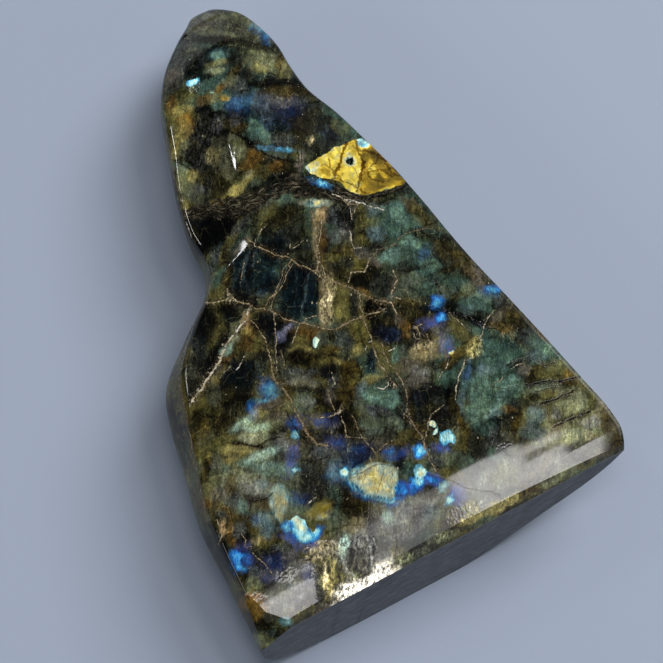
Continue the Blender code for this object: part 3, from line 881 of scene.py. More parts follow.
# Cracks: half width in pixels, paleness from brown at 0 to white at 1, how rusty the rock
# beside it is, then the places it passes.
CRACKS = (
    (1.1, 0.55, 0.3, ((247, 238), (255, 245), (265, 249), (275, 254), (287, 257), (293, 261),
        (303, 266), (313, 271), (320, 277))),
    (1.3, 0.45, 0.9, ((320, 277), (330, 280), (340, 284), (350, 287), (358, 292), (366, 296),
        (378, 300), (388, 302))),
    (1.2, 0.5, 0.9, ((313, 213), (316, 230), (316, 240), (318, 268), (324, 284))),
    (0.9, 0.6, 0.8, ((322, 218), (321, 235), (318, 246), (321, 262), (326, 276))),
    (1.0, 0.4, 0.6, ((324, 284), (327, 300), (327, 323))),
    (1.2, 0.6, 0.2, ((203, 302), (212, 303), (220, 301), (228, 300), (237, 301), (248, 304))),
    (1.0, 0.55, 0.6, ((248, 304), (256, 308), (262, 309), (268, 309), (273, 311), (283, 318),
        (292, 321), (300, 323), (310, 325), (320, 328), (336, 329))),
    (1.2, 0.5, 0.4, ((336, 329), (354, 320), (365, 316), (372, 314), (385, 309))),
    (0.9, 0.5, 0.2, ((290, 262), (283, 270), (281, 280), (276, 290), (270, 298), (265, 307))),
    (0.7, 0.55, 0.1, ((294, 263), (288, 272), (284, 283), (277, 293), (271, 303), (273, 311))),
    (1.6, 0.85, 0.0, ((249, 305), (247, 318), (240, 327), (235, 333), (228, 342))),
    (1.9, 0.75, 0.5, ((228, 342), (222, 354), (217, 366), (211, 373), (203, 386), (192, 402))),
    (1.0, 0.55, 0.1, ((249, 318), (258, 328), (264, 338), (269, 352), (271, 362), (273, 374))),
    (1.7, 0.42, 0.5, ((273, 374), (277, 383), (285, 391), (291, 401), (296, 412), (304, 426),
        (310, 437), (318, 444), (330, 446))),
    (0.7, 0.6, 0.0, ((274, 311), (275, 324), (276, 340), (276, 355), (277, 371))),
    (0.7, 0.5, 0.0, ((281, 350), (284, 360), (286, 370))),
    (1.1, 0.5, 0.4, ((358, 290), (361, 305), (364, 320))),
    (1.0, 0.5, 0.3, ((364, 320), (368, 328), (372, 341), (376, 356), (381, 366), (390, 378),
        (397, 388))),
    (1.0, 0.45, 0.3, ((381, 343), (384, 352), (389, 362), (396, 372), (403, 383), (407, 393),
        (407, 407), (404, 418))),
    (1.2, 0.42, 0.3, ((407, 405), (410, 417), (415, 428), (422, 437), (425, 448), (430, 460),
        (436, 472))),
    (0.8, 0.35, 0.2, ((374, 255), (378, 249), (388, 247), (396, 243), (402, 236), (412, 231),
        (425, 229), (434, 228))),
    (0.9, 0.75, 0.0, ((494, 310), (488, 317), (484, 325), (482, 333), (481, 341))),
    (0.9, 0.75, 0.1, ((465, 358), (462, 368), (459, 377), (456, 386), (455, 400))),
    (0.9, 0.6, 0.4, ((390, 301), (398, 315))),
    (0.8, 0.8, 0.0, ((349, 230), (353, 243), (355, 248), (362, 248))),
    (0.9, 0.6, 0.0, ((348, 283), (352, 272), (365, 272), (370, 258))),
    (1.1, 0.85, 0.0, ((333, 194), (345, 199), (358, 202), (370, 206), (383, 210))),
    (0.7, 0.7, 0.0, ((340, 196), (350, 208), (352, 220))),
    (0.7, 0.6, 0.0, ((347, 203), (358, 205), (352, 215))),
    (0.8, 0.6, 0.0, ((300, 323), (310, 317), (320, 315), (327, 314))),
    (0.8, 0.6, 0.0, ((300, 323), (295, 335), (292, 345))),
    (1.0, 0.7, 0.2, ((228, 289), (232, 296), (237, 301))),
    (0.9, 0.6, 0.2, ((227, 290), (227, 297), (228, 300))),
    (1.0, 0.6, 0.0, ((393, 270), (397, 280), (391, 295), (401, 299))),
    (0.8, 0.6, 0.1, ((414, 325), (419, 333), (421, 340), (414, 338), (413, 328), (422, 324))),
    (0.8, 0.6, 0.2, ((427, 333), (430, 341), (424, 347), (434, 350))),
    (0.9, 0.5, 0.0, ((444, 405), (437, 409), (432, 415), (429, 420))),
    (0.9, 0.5, 0.3, ((429, 420), (427, 432), (424, 442))),
    (0.8, 0.5, 0.1, ((345, 437), (355, 438), (368, 438))),
    (0.8, 0.5, 0.2, ((352, 415), (357, 426), (363, 438), (370, 446), (376, 455))),
    (0.7, 0.5, 0.1, ((376, 453), (383, 446), (390, 442))),
    (0.8, 0.65, 0.0, ((320, 418), (330, 417), (338, 414), (344, 409))),
    (0.8, 0.6, 0.0, ((342, 404), (339, 413), (345, 424), (346, 434))),
    (0.8, 0.5, 0.2, ((328, 390), (331, 402), (335, 411))),
    (0.7, 0.8, 0.0, ((388, 351), (392, 349), (396, 347))),
    (0.9, 0.8, 0.0, ((377, 387), (383, 389), (388, 386), (388, 382))),
    (0.9, 0.6, 0.2, ((392, 380), (394, 388))),
    (0.7, 0.7, 0.0, ((438, 381), (441, 373), (447, 366), (449, 358))),
    (0.7, 0.6, 0.0, ((449, 312), (454, 317), (462, 324), (471, 331))),
    (0.6, 0.7, 0.0, ((511, 369), (517, 365), (527, 361))),
    (0.6, 0.7, 0.0, ((494, 383), (500, 382), (503, 376))),
    (0.8, 0.85, 0.0, ((236, 370), (240, 364), (244, 356))),
    (0.6, 0.7, 0.0, ((220, 378), (224, 372), (231, 366))),
    (0.6, 0.8, 0.0, ((365, 350), (368, 343), (372, 340))),
    (0.7, 0.7, 0.0, ((331, 371), (334, 378), (335, 385))),
    (0.9, 0.5, 0.1, ((346, 500), (350, 497))),
    (0.8, 0.7, 0.1, ((306, 506), (312, 500), (317, 497))),
    (0.8, 0.5, 0.1, ((240, 532), (246, 540), (244, 548), (252, 546))),
    (0.8, 0.5, 0.1, ((252, 552), (258, 559), (266, 565), (272, 573))),
    (1.0, 0.6, 0.3, ((217, 520), (221, 528), (222, 536), (218, 545))),
    (0.9, 0.65, 0.3, ((305, 549), (315, 546), (326, 543), (336, 546))),
    # The next three pale lines, drawn as cracks along the left edge, are painted highlights on its
    # rounded rim.
    (0.5, 0.7, 0.3, ((165, 140), (168, 155), (172, 170), (178, 190), (182, 203), (186, 214))),
    (0.7, 0.95, 0.0, ((186, 222), (189, 230), (191, 238))),
    (0.5, 0.55, 0.6, ((177, 374), (181, 392), (186, 412), (189, 432), (193, 455), (198, 482),
        (205, 515))),
    (0.6, 0.7, 0.0, ((195, 318), (190, 335), (184, 352), (180, 367))),
    (0.6, 0.75, 0.0, ((255, 247), (256, 238), (261, 231), (266, 226))),
    (0.7, 0.7, 0.0, ((290, 250), (291, 243))),
    (0.6, 0.6, 0.0, ((293, 248), (300, 244), (304, 240))),
    (0.6, 0.6, 0.0, ((244, 262), (242, 272), (240, 284))),
)
# Dark seams: half width in pixels, strength, then the places they pass.
SEAMS = (
    (1.3, 0.8, ((240, 92), (260, 86), (275, 82), (300, 85))),
    (1.3, 0.9, ((228, 130), (240, 137), (255, 148), (275, 158), (290, 161))),
    (1.0, 0.8, ((172, 160), (180, 163), (192, 170))),
    (1.6, 0.9, ((436, 284), (439, 290), (441, 294))),
    (1.2, 0.9, ((446, 311), (458, 315), (470, 318), (485, 326), (497, 329))),
    (1.0, 0.7, ((430, 306), (445, 312), (455, 316))),
    (1.3, 0.9, ((525, 385), (540, 382), (560, 381), (580, 377))),
    (1.5, 0.9, ((540, 404), (552, 400), (563, 396), (574, 390))),
    (1.5, 0.9, ((553, 427), (564, 423), (574, 417), (590, 411))),
    (1.0, 0.7, ((530, 393), (545, 389), (560, 385))),
    (1.0, 0.6, ((547, 405), (547, 414), (549, 420))),
    (1.0, 0.7, ((505, 366), (516, 361), (528, 356), (545, 365), (556, 361))),
    (1.2, 0.8, ((228, 443), (245, 444), (258, 447), (268, 440), (280, 437))),
    (1.0, 0.8, ((245, 499), (255, 501), (266, 499), (273, 493))),
    (1.1, 0.8, ((249, 500), (250, 511), (247, 522))),
    (2.2, 1.0, ((347, 143), (343, 153), (340, 164), (334, 178))),
    (1.9, 0.95, ((355, 140), (357, 148), (361, 156), (364, 162))),
    (2.2, 1.0, ((364, 162), (361, 175), (357, 191))),
    (1.3, 0.8, ((340, 179), (350, 184), (366, 193))),
    (1.3, 0.8, ((352, 146), (362, 150), (374, 152))),
    (1.3, 0.8, ((328, 158), (331, 167), (335, 178))),
    (2.2, 0.9, ((364, 150), (376, 154), (386, 161))),
    (1.5, 0.8, ((385, 163), (392, 172), (399, 176))),
    (1.4, 0.8, ((367, 170), (376, 162), (381, 152))),
    (1.2, 0.8, ((368, 176), (376, 181), (386, 183))),
    (0.6, 0.6, ((318, 166), (326, 164), (333, 170))),
    (0.6, 0.6, ((352, 166), (357, 172), (358, 180))),
    (1.4, 0.7, ((368, 172), (380, 170), (392, 176))),
    (1.4, 0.9, ((368, 199), (385, 195), (398, 189), (408, 185))),
    (0.9, 0.7, ((352, 478), (362, 472), (370, 468), (380, 464), (392, 466))),
    (0.8, 0.7, ((366, 474), (363, 482), (360, 489))),
    (0.8, 0.7, ((384, 470), (381, 482), (376, 497))),
    (0.7, 0.6, ((392, 468), (393, 478), (391, 488))),
    (0.8, 0.5, ((370, 500), (369, 520), (366, 535), (362, 548))),
    (0.8, 0.5, ((414, 505), (411, 520), (408, 538))),
    (0.8, 0.5, ((436, 505), (432, 520), (428, 530))),
    (0.7, 0.6, ((438, 507), (446, 510), (453, 513))),
    (0.8, 0.8, ((438, 477), (453, 481), (462, 487), (480, 490), (500, 495))),
    (1.3, 0.9, ((396, 538), (396, 550), (394, 560))),
    (1.2, 0.8, ((500, 448), (506, 453), (510, 456))),
    (0.8, 0.6, ((521, 428), (532, 428), (541, 433))),
    (1.0, 0.7, ((310, 388), (328, 390), (342, 386))),
    (1.2, 0.8, ((286, 410), (290, 420), (298, 432), (306, 440))),
    (0.9, 0.6, ((260, 410), (272, 408), (282, 403))),
    (0.9, 0.7, ((281, 63), (280, 72), (276, 78))),
    (1.0, 0.6, ((185, 42), (210, 38), (235, 40), (258, 44))),
    (0.8, 0.5, ((200, 470), (212, 466), (222, 470))),
    (0.9, 0.6, ((290, 540), (283, 549), (272, 552))),
    (0.9, 0.6, ((300, 560), (312, 558), (326, 560))),
    (0.8, 0.6, ((490, 385), (505, 389), (518, 385), (530, 386))),
    (0.9, 0.6, ((490, 428), (494, 436), (492, 446))),
)
# The fibrous dark vein: places along it, and its half width there, in pixels.
VEIN = (
    (182, 215, 5), (200, 212, 8), (218, 209, 10), (238, 207, 12), (255, 200, 10), (270, 193, 9),
    (290, 188, 10), (310, 188, 9), (330, 190, 8), (350, 198, 6), (366, 199, 4), (385, 193, 3),
    (402, 186, 2.5),
)
# Speckled and crumbly areas: middle x and y, half length and width, turn, strength.
GRIT = (
    (206, 130, 13, 24, 20, 0.9),
    (199, 160, 18, 12, 15, 0.9),
    (213, 180, 7, 12, 0, 0.7),
    (196, 66, 12, 10, 0, 0.5),
    (346, 212, 13, 22, 0, 0.8),
    (330, 285, 9, 14, 0, 0.6),
    (326, 308, 9, 18, 0, 0.66),
    (375, 280, 16, 14, 0, 0.6),
    (374, 310, 12, 12, 0, 0.6),
    (385, 325, 16, 12, 0, 0.5),
    (412, 305, 20, 5, 0, 0.8),
    (420, 336, 12, 12, 0, 0.8),
    (475, 347, 9, 13, 15, 1.0),
    (510, 337, 9, 12, 0, 0.6),
    (556, 382, 9, 5, 0, 0.7),
    (345, 425, 18, 16, 0, 0.8),
    (420, 435, 9, 12, 0, 0.6),
    (498, 435, 14, 12, 0, 0.6),
    (445, 415, 10, 12, 0, 0.4),
    (192, 86, 8, 7, 0, 0.93),
    (285, 572, 12, 8, 0, 0.7),
    (330, 580, 16, 26, 0, 1.25),
    (359, 565, 13, 14, 0, 1.2),
    (366, 548, 13, 12, 0, 1.18),
    (365, 585, 34, 12, -28, 1.4),
    (322, 552, 18, 12, -20, 1.15),
    (344, 550, 7, 12, 10, 0.7),
    (455, 518, 12, 9, -25, 0.7),
    (474, 508, 12, 8, 0, 0.7),
    (222, 530, 8, 22, 0, 0.6),
    (430, 545, 40, 6, -28, 0.75),
    (525, 492, 40, 6, -28, 0.65),
    (300, 612, 16, 5, -28, 0.6),
    (360, 556, 12, 18, 0, 1.0),
    (228, 366, 12, 12, 0, 0.5),
    (254, 596, 12, 5, 0, 0.5),
    (415, 372, 14, 10, 0, 0.4),
    (232, 294, 5, 6, 0, 0.8),
    (310, 140, 6, 7, 0, 0.7),
    (300, 162, 5, 12, 0, 0.7),
)

# Noise that is the same in every run. A salt keeps one noise apart from another.
HASH_WEIGHTS = np.array((127.1, 311.7, 74.7))
HASH_STEP = 19.19
HASH_SCALE = 43758.5453
NOISE_LAYERS = 3


def hashed(cells, salt):
    """A number from 0 to 1 for each whole-numbered cell."""
    mixed = cells @ HASH_WEIGHTS + salt * HASH_STEP
    return np.modf(np.abs(np.sin(mixed) * HASH_SCALE))[0]


def noise(points, size, salt):
    """Smooth noise from -1 to 1 whose lumps are about size across."""
    places = points / size
    cells = np.floor(places)
    blend = places - cells
    blend = blend * blend * (3 - 2 * blend)
    total = np.zeros(len(points))
    for corner in itertools.product((0, 1), repeat=3):
        share = np.prod(np.where(corner, blend, 1 - blend), axis=1)
        total += share * hashed(cells + corner, salt)
    return total * 2 - 1


def rough_noise(points, size, salt):
    """Noise from -1 to 1 with finer and fainter lumps on its lumps."""
    total = np.zeros(len(points))
    for layer in range(NOISE_LAYERS):
        total += noise(points, size / 2**layer, salt + layer) / 2**layer
    return total / (2 - 2 ** (1 - NOISE_LAYERS))


def noise_pair(points, size, salt):
    """Two rough noises side by side, for shifts in a plane."""
    return np.stack([rough_noise(points, size, salt + 7 * axis) for axis in range(2)], -1)


def grains(places, size, salt):
    """The middle of the flat grain that each place is in, and a number of its own."""
    steps = places / size
    base = np.floor(steps)
    nearest = np.full(len(places), np.inf)
    middles = np.zeros_like(places)
    numbers = np.zeros(len(places))
    for step in itertools.product((-1, 0, 1), repeat=2):
        cells = np.column_stack((base + step, np.zeros(len(places))))
        seeds = cells[:, :2] + np.stack([hashed(cells, salt + axis) for axis in (1, 2)], -1)
        distance = np.linalg.norm(steps - seeds, axis=1)
        closer = distance < nearest
        nearest[closer] = distance[closer]
        middles[closer] = seeds[closer] * size
        numbers[closer] = hashed(cells, salt + 4)[closer]
    return middles, numbers


def smoothed(values):
    """0 below 0, 1 above 1, and a soft step between them."""
    values = np.clip(values, 0.0, 1.0)
    return values * values * (3 - 2 * values)


# The form, in millimetres.
COLUMNS = list(zip(*ROWS))
BODY_CURVE = list(zip(*BODY_BACK))
HEAD_CURVE = list(zip(*HEAD_BACK))
# Where a row holds the right edge's y, x and z, and how finely that edge is measured.
RIGHT_EDGE = (0, 3, 4)
EDGE_SAMPLES = 2000
# The most of a section's width that a rounded edge takes, how far along the back's first
# step the back's own points begin, and the width from which swells are full.
EDGE_SHARE = 0.2
FIRST_BACK_STEP = 0.35
FULL_WIDTH = 12
# The left wall's belly: the share of the depth where it ends, and the share of the way
# round the back where it ends, and over which it fades.
BELLY_DEPTH = 0.85
BELLY_END, BELLY_FADE = 0.35, 0.25
# What counts as on a plane, and edges too short to keep.
ON_PLANE = 1e-4
SHORT_EDGE = 0.004


def through(values, position):
    """Value at a fractional position along a list, on a smooth curve through all of it."""
    last = len(values) - 1
    index = min(int(position), last - 1)
    t = position - index
    near = [values[min(max(index + step, 0), last)] for step in (-1, 0, 1, 2)]
    if index == 0:
        near[0] = 2 * near[1] - near[2]
    return 0.5 * (
        2 * near[1]
        + (near[2] - near[0]) * t
        + (2 * near[0] - 5 * near[1] + 4 * near[2] - near[3]) * t**2
        + (3 * near[1] - near[0] - 3 * near[2] + near[3]) * t**3
    )


def row_at(position):
    return [through(column, position) for column in COLUMNS]


def even_positions(count):
    """Row positions whose sections are equally far apart along the stone's right edge."""
    samples = np.linspace(0, len(ROWS) - 1, EDGE_SAMPLES)
    edge = np.array([row_at(sample) for sample in samples])[:, RIGHT_EDGE]
    steps = np.linalg.norm(np.diff(edge, axis=0), axis=1)
    gone = np.concatenate(((0.0,), np.cumsum(steps)))
    return np.interp(np.arange(count) * gone[-1] / count, gone, samples)


def swell(x, y, place):
    """Height of a round swell of the front, below 0 for a dip."""
    centre_x, centre_y, radius, height = place
    reach = np.hypot(x - centre_x, y - centre_y) / radius
    return height * np.exp(-reach * reach)


def scoop(x, y):
    """Depth of the scoop below the front, 0 on the base's side of the ridge."""
    along_x = RIDGE_HEAD[0] - RIDGE_FOOT[0]
    along_y = RIDGE_HEAD[1] - RIDGE_FOOT[1]
    length = math.hypot(along_x, along_y)
    past = (along_x * (y - RIDGE_FOOT[1]) - along_y * (x - RIDGE_FOOT[0])) / length
    past = np.maximum(past, 0.0)
    near = np.hypot(x - SCOOP_CENTRE[0], y - SCOOP_CENTRE[1]) / SCOOP_RADIUS
    return SCOOP_DEPTH * past / (SCOOP_REACH + past) * np.exp(-near * near)


def front_height(x, y, row):
    """Height of the front face at points across one section."""
    _, left, left_z, right, right_z, crown, _, _, _ = row
    across = np.clip((x - left) / max(right - left, 1e-6), 0.0, 1.0)
    height = left_z + (right_z - left_z) * across + crown * 4 * across * (1 - across)
    fade = smoothed((right - left) / FULL_WIDTH)
    bumps = sum(swell(x, y, place) for place in (HEAD_SWELL, HEAD_DIP, BELLY_DIP))
    return height + fade * (bumps - scoop(x, y))


def back_points(shares, row):
    """Points of the back, share 0 at the left edge and 1 at the right edge."""
    y, left, _, right, _, _, back_z, belly, lens = row
    positions = shares * (len(BODY_BACK) - 1)
    body = np.array([[through(curve, p) for curve in BODY_CURVE] for p in positions])
    head = np.array([[through(curve, p) for curve in HEAD_CURVE] for p in positions])
    across, depth = (body + (head - body) * lens).T
    x = left + (right - left) * across
    near = smoothed((BELLY_END - shares) / BELLY_FADE)
    x = x - belly * np.sin(np.pi * np.clip(depth / BELLY_DEPTH, 0, 1)) * near
    top = front_height(x, y, row)
    return np.stack((x, np.full_like(x, y), top + (back_z - top) * depth), -1)


def rounded(before, corner, after, count):
    """Points along the rounded edge from before to after, pulled towards the corner."""
    t = (np.arange(count)[:, None] + 1) / (count + 1)
    return (1 - t) ** 2 * before + 2 * t * (1 - t) * corner + t**2 * after


def section(position):
    """The closed section at a fractional row, as a ring of points."""
    row = row_at(position)
    y, left, _, right = row[:4]
    radius = min(EDGE_RADIUS, EDGE_SHARE * (right - left))
    x = np.linspace(left + radius, right - radius, FRONT_POINTS)
    front = np.stack((x, np.full_like(x, y), front_height(x, y, row)), -1)
    first = FIRST_BACK_STEP / (len(BODY_BACK) - 1)
    back = back_points(np.linspace(1 - first, first, BACK_POINTS), row)
    corners = [np.array((edge, y, front_height(edge, y, row))) for edge in (right, left)]
    right_edge = rounded(front[-1], corners[0], back[0], EDGE_POINTS)
    left_edge = rounded(back[-1], corners[1], front[0], EDGE_POINTS)
    return np.concatenate((front, right_edge, back, left_edge))


def loft():
    """The body before it is cut: rings of points joined from the base to the tip."""
    mesh = bmesh.new()
    rings = []
    for position in even_positions(STATIONS):
        rings.append([mesh.verts.new(point) for point in section(position)])
    for ring, following in zip(rings, rings[1:]):
        for index in range(len(ring)):
            after = (index + 1) % len(ring)
            mesh.faces.new((ring[index], ring[after], following[after], following[index]))
    tip_row = ROWS[-1]
    tip = mesh.verts.new((tip_row[1], tip_row[0], tip_row[2]))
    for index, vertex in enumerate(rings[-1]):
        mesh.faces.new((vertex, rings[-1][(index + 1) % len(rings[-1])], tip))
    mesh.faces.new(rings[0][::-1])
    return mesh


def slice_along(mesh, point, normal, clear):
    """Cuts the mesh's faces along a plane and, with clear, deletes what lies beyond it."""
    everything = mesh.verts[:] + mesh.edges[:] + mesh.faces[:]
    return bmesh.ops.bisect_plane(
        mesh,
        geom=everything,
        dist=ON_PLANE,
        plane_co=point,
        plane_no=normal,
        clear_outer=clear,
    )


def cut(mesh, point, normal):
    """Cuts away what lies beyond a plane and closes the mesh with one flat face."""
    made = slice_along(mesh, point, normal, True)
    rim = [item for item in made["geom_cut"] if isinstance(item, bmesh.types.BMEdge)]
    bmesh.ops.contextual_create(mesh, geom=rim)


def flatten(mesh, point, normal):
    """Presses what lies beyond a plane onto it, so that the flat keeps its many points."""
    slice_along(mesh, point, normal, False)
    normal = Vector(normal).normalized()
    point = Vector(point)
    for vertex in mesh.verts:
        beyond = (vertex.co - point).dot(normal)
        if beyond > 0:
            vertex.co -= normal * beyond


def cut_body():
    """The body with its flats ground and its base sawn off."""
    mesh = loft()
    flatten(mesh, (0, 0, 0), (0, 0, -1))
    flatten(mesh, *HEAD_FACET)
    flatten(mesh, (0, BASE_CHAMFER, FRONT_AT_BASE), (0, -1, 1))
    for point, normal in CORNER_FACETS:
        flatten(mesh, point, normal)
    cut(mesh, (0, 0, 0), (0, -1, 0))
    bmesh.ops.dissolve_degenerate(mesh, dist=SHORT_EDGE, edges=mesh.edges[:])
    many = [face for face in mesh.faces if len(face.verts) > 4]
    bmesh.ops.triangulate(mesh, faces=many)
    return mesh


def stone_mesh():
    """The stone in metres in the row frame, whose origin is under the middle of its box."""
    mesh = cut_body()
    corners = np.array([vertex.co for vertex in mesh.verts])
    low, high = corners.min(0), corners.max(0)
    middle = Vector(((low[0] + high[0]) / 2, (low[1] + high[1]) / 2, low[2]))
    for vertex in mesh.verts:
        vertex.co = (vertex.co - middle) * MM
    data = bpy.data.meshes.new("polished_stone")
    mesh.to_mesh(data)
    mesh.free()
    return data


def read_points(data, what):
    """The places or the normals of all points of a mesh."""
    values = np.zeros(len(data.vertices) * 3)
    data.vertices.foreach_get(what, values)
    return values.reshape(-1, 3)


def keep(data, name, values):
    """Stores a colour or a vector for each point of a mesh."""
    if values.shape[1] == 4:
        attribute = data.attributes.new(name, "FLOAT_COLOR", "POINT")
        attribute.data.foreach_set("color", values.astype(np.float32).ravel())
    else:
        attribute = data.attributes.new(name, "FLOAT_VECTOR", "POINT")
        attribute.data.foreach_set("vector", values.astype(np.float32).ravel())


# The markings. Where a point faces away from the camera, its place in the picture drifts by
# DRIFT_BY and, in lumps of DRIFT_SIZE millimetres, to and fro by up to DRIFT_PX. The gain
# says how soon a turning surface drifts in full.
DRIFT_GAIN = 1.4
DRIFT_SIZE = 26.0
DRIFT_PX = 95.0
DRIFT_BY = np.array((46.0, -30.0))


def marked_places(points, normals):
    """Where each point looks its markings up, in pixels."""
    away = smoothed(-(normals @ TOWARDS) * DRIFT_GAIN)[:, None]
    drift = DRIFT_BY + DRIFT_PX * noise_pair(points / MM, DRIFT_SIZE, 51)
    return pixels_of(points) + away * drift


# Ovals are a little squarer than ellipses, whose power is 2. A grain's side leans and stands
# nearer or further by its own numbers.
OVAL_POWER = 2.4
GRAIN_SIDES = 7
SIDE_LEAN = 0.7
SIDE_NEAREST = 0.84
SIDE_SPREAD = 0.3


def oval_reach(places, x, y, long, wide, turn):
    """How far out of an oval each place is, 1 at its rim."""
    angle = math.radians(turn)
    dx, dy = places[:, 0] - x, places[:, 1] - y
    along = np.abs(dx * math.cos(angle) + dy * math.sin(angle)) / long
    across = np.abs(dy * math.cos(angle) - dx * math.sin(angle)) / wide
    return (along**OVAL_POWER + across**OVAL_POWER) ** (1 / OVAL_POWER)


def grain_reach(places, x, y, long, wide, turn):
    """How far out of an angular grain of many sides each place is, about 1 at its rim."""
    angle = math.radians(turn)
    dx, dy = places[:, 0] - x, places[:, 1] - y
    along = (dx * math.cos(angle) + dy * math.sin(angle)) / long
    across = (dy * math.cos(angle) - dx * math.sin(angle)) / wide
    reach = np.zeros(len(places))
    for side in range(GRAIN_SIDES):
        lean, far = (hashed(np.array((x, y, side)), salt) for salt in (1, 2))
        facing = math.tau * (side + SIDE_LEAN * lean) / GRAIN_SIDES
        out = along * math.cos(facing) + across * math.sin(facing)
        reach = np.maximum(reach, out / (SIDE_NEAREST + SIDE_SPREAD * far))
    return reach


def with_depth(places):
    """Places of the picture as points of space, for the noises."""
    return np.column_stack((places, np.zeros(len(places))))


def linear(colour):
    share = np.array(colour) / 255
    return np.where(share <= 0.04045, share / 12.92, ((share + 0.055) / 1.055) ** 2.4)


ROCK = {name: linear(colour) for name, colour in PALETTE.items()}

# The ground under the patches, with sizes in pixels.
WARP_PX = 2.4
WARP_SIZE = 9.0
GRAIN_PX = 11.0
SMALL_GRAIN_PX = 4.6
GRAIN_PULL = 0.26
COLD_SIZE = 60
DARK_SIZE = 34
DARK_SHARE = 0.75
# Where a patch ends, and how long before that it begins to fade, as shares of its size.
PATCH_END = 1.38
PATCH_FADE = 0.75
# The dark joint round a larger patch: the least half size, the joint's half width, how
# dark it is, where it lies as a share of the patch's size, and how long its parts are.
JOINT_FROM_PX = 4.5
JOINT_PX = 1.2
JOINT_DEPTH = 0.36
JOINT_AT = 1.05
JOINT_SIZE = 13.0
# How much the light differs from grain to grain, and the contrast about a middle tone.
GRAIN_LIGHT = 0.3
SMALL_GRAIN_LIGHT = 0.4
CONTRAST_MIDDLE = 0.048
CONTRAST = 0.55


def rock_tones(places):
    """The rock's colours: a mixed ground of grains, then the patches."""
    warped = places + WARP_PX * noise_pair(with_depth(places), WARP_SIZE, 3)
    broken = smoothed(0.5 + 1.6 * noise(with_depth(warped), JOINT_SIZE, 61))
    middles, numbers = grains(warped, GRAIN_PX, 1)
    small_middles, small_numbers = grains(warped, SMALL_GRAIN_PX, 9)
    pulled = warped + GRAIN_PULL * (0.6 * middles + 0.4 * small_middles - warped)
    flat = with_depth(pulled)
    cold = smoothed(0.5 + 1.5 * rough_noise(flat, COLD_SIZE, 20))[:, None]
    dark = smoothed(0.5 + 1.6 * rough_noise(flat, DARK_SIZE, 30))[:, None]
    tone = ROCK["olive"] + (ROCK["teal"] - ROCK["olive"]) * cold
    tone = tone + (ROCK["charcoal"] - tone) * dark * DARK_SHARE
    for x, y, long, wide, turn, name, strength in PATCHES:
        reach = grain_reach(pulled, x, y, long, wide, turn)
        cover = strength * smoothed((PATCH_END - reach) / PATCH_FADE)
        tone += (ROCK[name] - tone) * cover[:, None]
        if min(long, wide) > JOINT_FROM_PX:
            beyond = (grain_reach(warped, x, y, long, wide, turn) - JOINT_AT) * min(long, wide)
            joint = np.exp(-((beyond / JOINT_PX) ** 2)) * broken * strength
            tone *= 1 - JOINT_DEPTH * joint[:, None]
    shade = 1 + GRAIN_LIGHT * (numbers - 0.5) + SMALL_GRAIN_LIGHT * (small_numbers - 0.5)
    shade *= np.clip(tone.mean(axis=1) / CONTRAST_MIDDLE, 0.05, 6) ** CONTRAST
    return tone * shade[:, None]


def polygon_depth(places, corners):
    """How far inside a polygon each place is, in pixels, and less than 0 outside."""
    corners = np.array(corners, dtype=float)
    nearest = np.full(len(places), np.inf)
    inside = np.zeros(len(places), dtype=bool)
    for start, end in zip(corners, np.roll(corners, -1, axis=0)):
        side = end - start
        offset = places - start
        share = np.clip(offset @ side / (side @ side), 0, 1)
        nearest = np.minimum(nearest, np.linalg.norm(offset - share[:, None] * side, axis=1))
        spans = (start[1] > places[:, 1]) != (end[1] > places[:, 1])
        crossing = start[0] + (places[:, 1] - start[1]) * side[0] / (side[1] or 1e-9)
        inside ^= spans & (places[:, 0] < crossing)
    return np.where(inside, nearest, -nearest)


# How ragged the rims of sheets and of spots are, and the size of the rags, in pixels.
SHEET_RAG_PX, SHEET_RAG_SIZE = 1.2, 5.0
SPOT_RAG_PX, SPOT_RAG_SIZE = 2.6, 4.5
# A change of hue is at least so strong and sets in over so many pixels.
TINT_LEAST = 0.3
TINT_RIM_PX = 1.5
# The depth in or out of a flash that counts as far.
DEPTH_LIMIT_MM = 2


def flash_fields(places):
    """For each point its depth inside the nearest flash in mm, its hue and its strength."""
    warped = places + SHEET_RAG_PX * noise_pair(with_depth(places), SHEET_RAG_SIZE, 5)
    loose = places + SPOT_RAG_PX * noise_pair(with_depth(places), SPOT_RAG_SIZE, 15)
    depth = np.full(len(places), -9.0)
    hue = np.zeros(len(places))
    strength = np.zeros(len(places))

    def lay(inside, rim, core, fade, power):
        """Lays a flash over the others; outside them all, the nearest one counts."""
        over = (inside > 0) | (inside > depth)
        share = smoothed(inside / fade)
        hue[over] = (rim + (core - rim) * share)[over]
        strength[over] = power
        depth[over] = inside[over]

    def tint(inside, rim, core, fade, power):
        """Changes the hue of what is laid already, or takes it away where power is 0."""
        over = inside > 0
        share = smoothed(inside / fade)
        fresh = rim + (core - rim) * share
        part = max(power, TINT_LEAST) * smoothed(inside / TINT_RIM_PX)
        hue[over] += ((fresh - hue) * part)[over]
        if power == 0:
            strength[over] = 0

    for x, y, long, wide, turn, rim, core, fade, power in FLASH_SPOTS:
        inside = (1 - oval_reach(loose, x, y, long, wide, turn)) * min(long, wide)
        lay(inside, rim, core, fade, power)
    for rim, core, fade, power, corners in FLASH_SHEETS:
        lay(polygon_depth(warped, corners), rim, core, fade, power)
    for x, y, long, wide, turn, rim, core, fade, power in HUE_SPOTS:
        inside = (1 - oval_reach(warped, x, y, long, wide, turn)) * min(long, wide)
        tint(inside, rim, core, fade, power)
    depth = np.clip(depth / PX_PER_MM, -DEPTH_LIMIT_MM, DEPTH_LIMIT_MM)
    return np.column_stack((depth, hue, strength))


# Lines turn every STEP_PX pixels and are pushed aside by up to SWAY_PX there.
STEP_PX = 4.0
SWAY_PX = 0.9
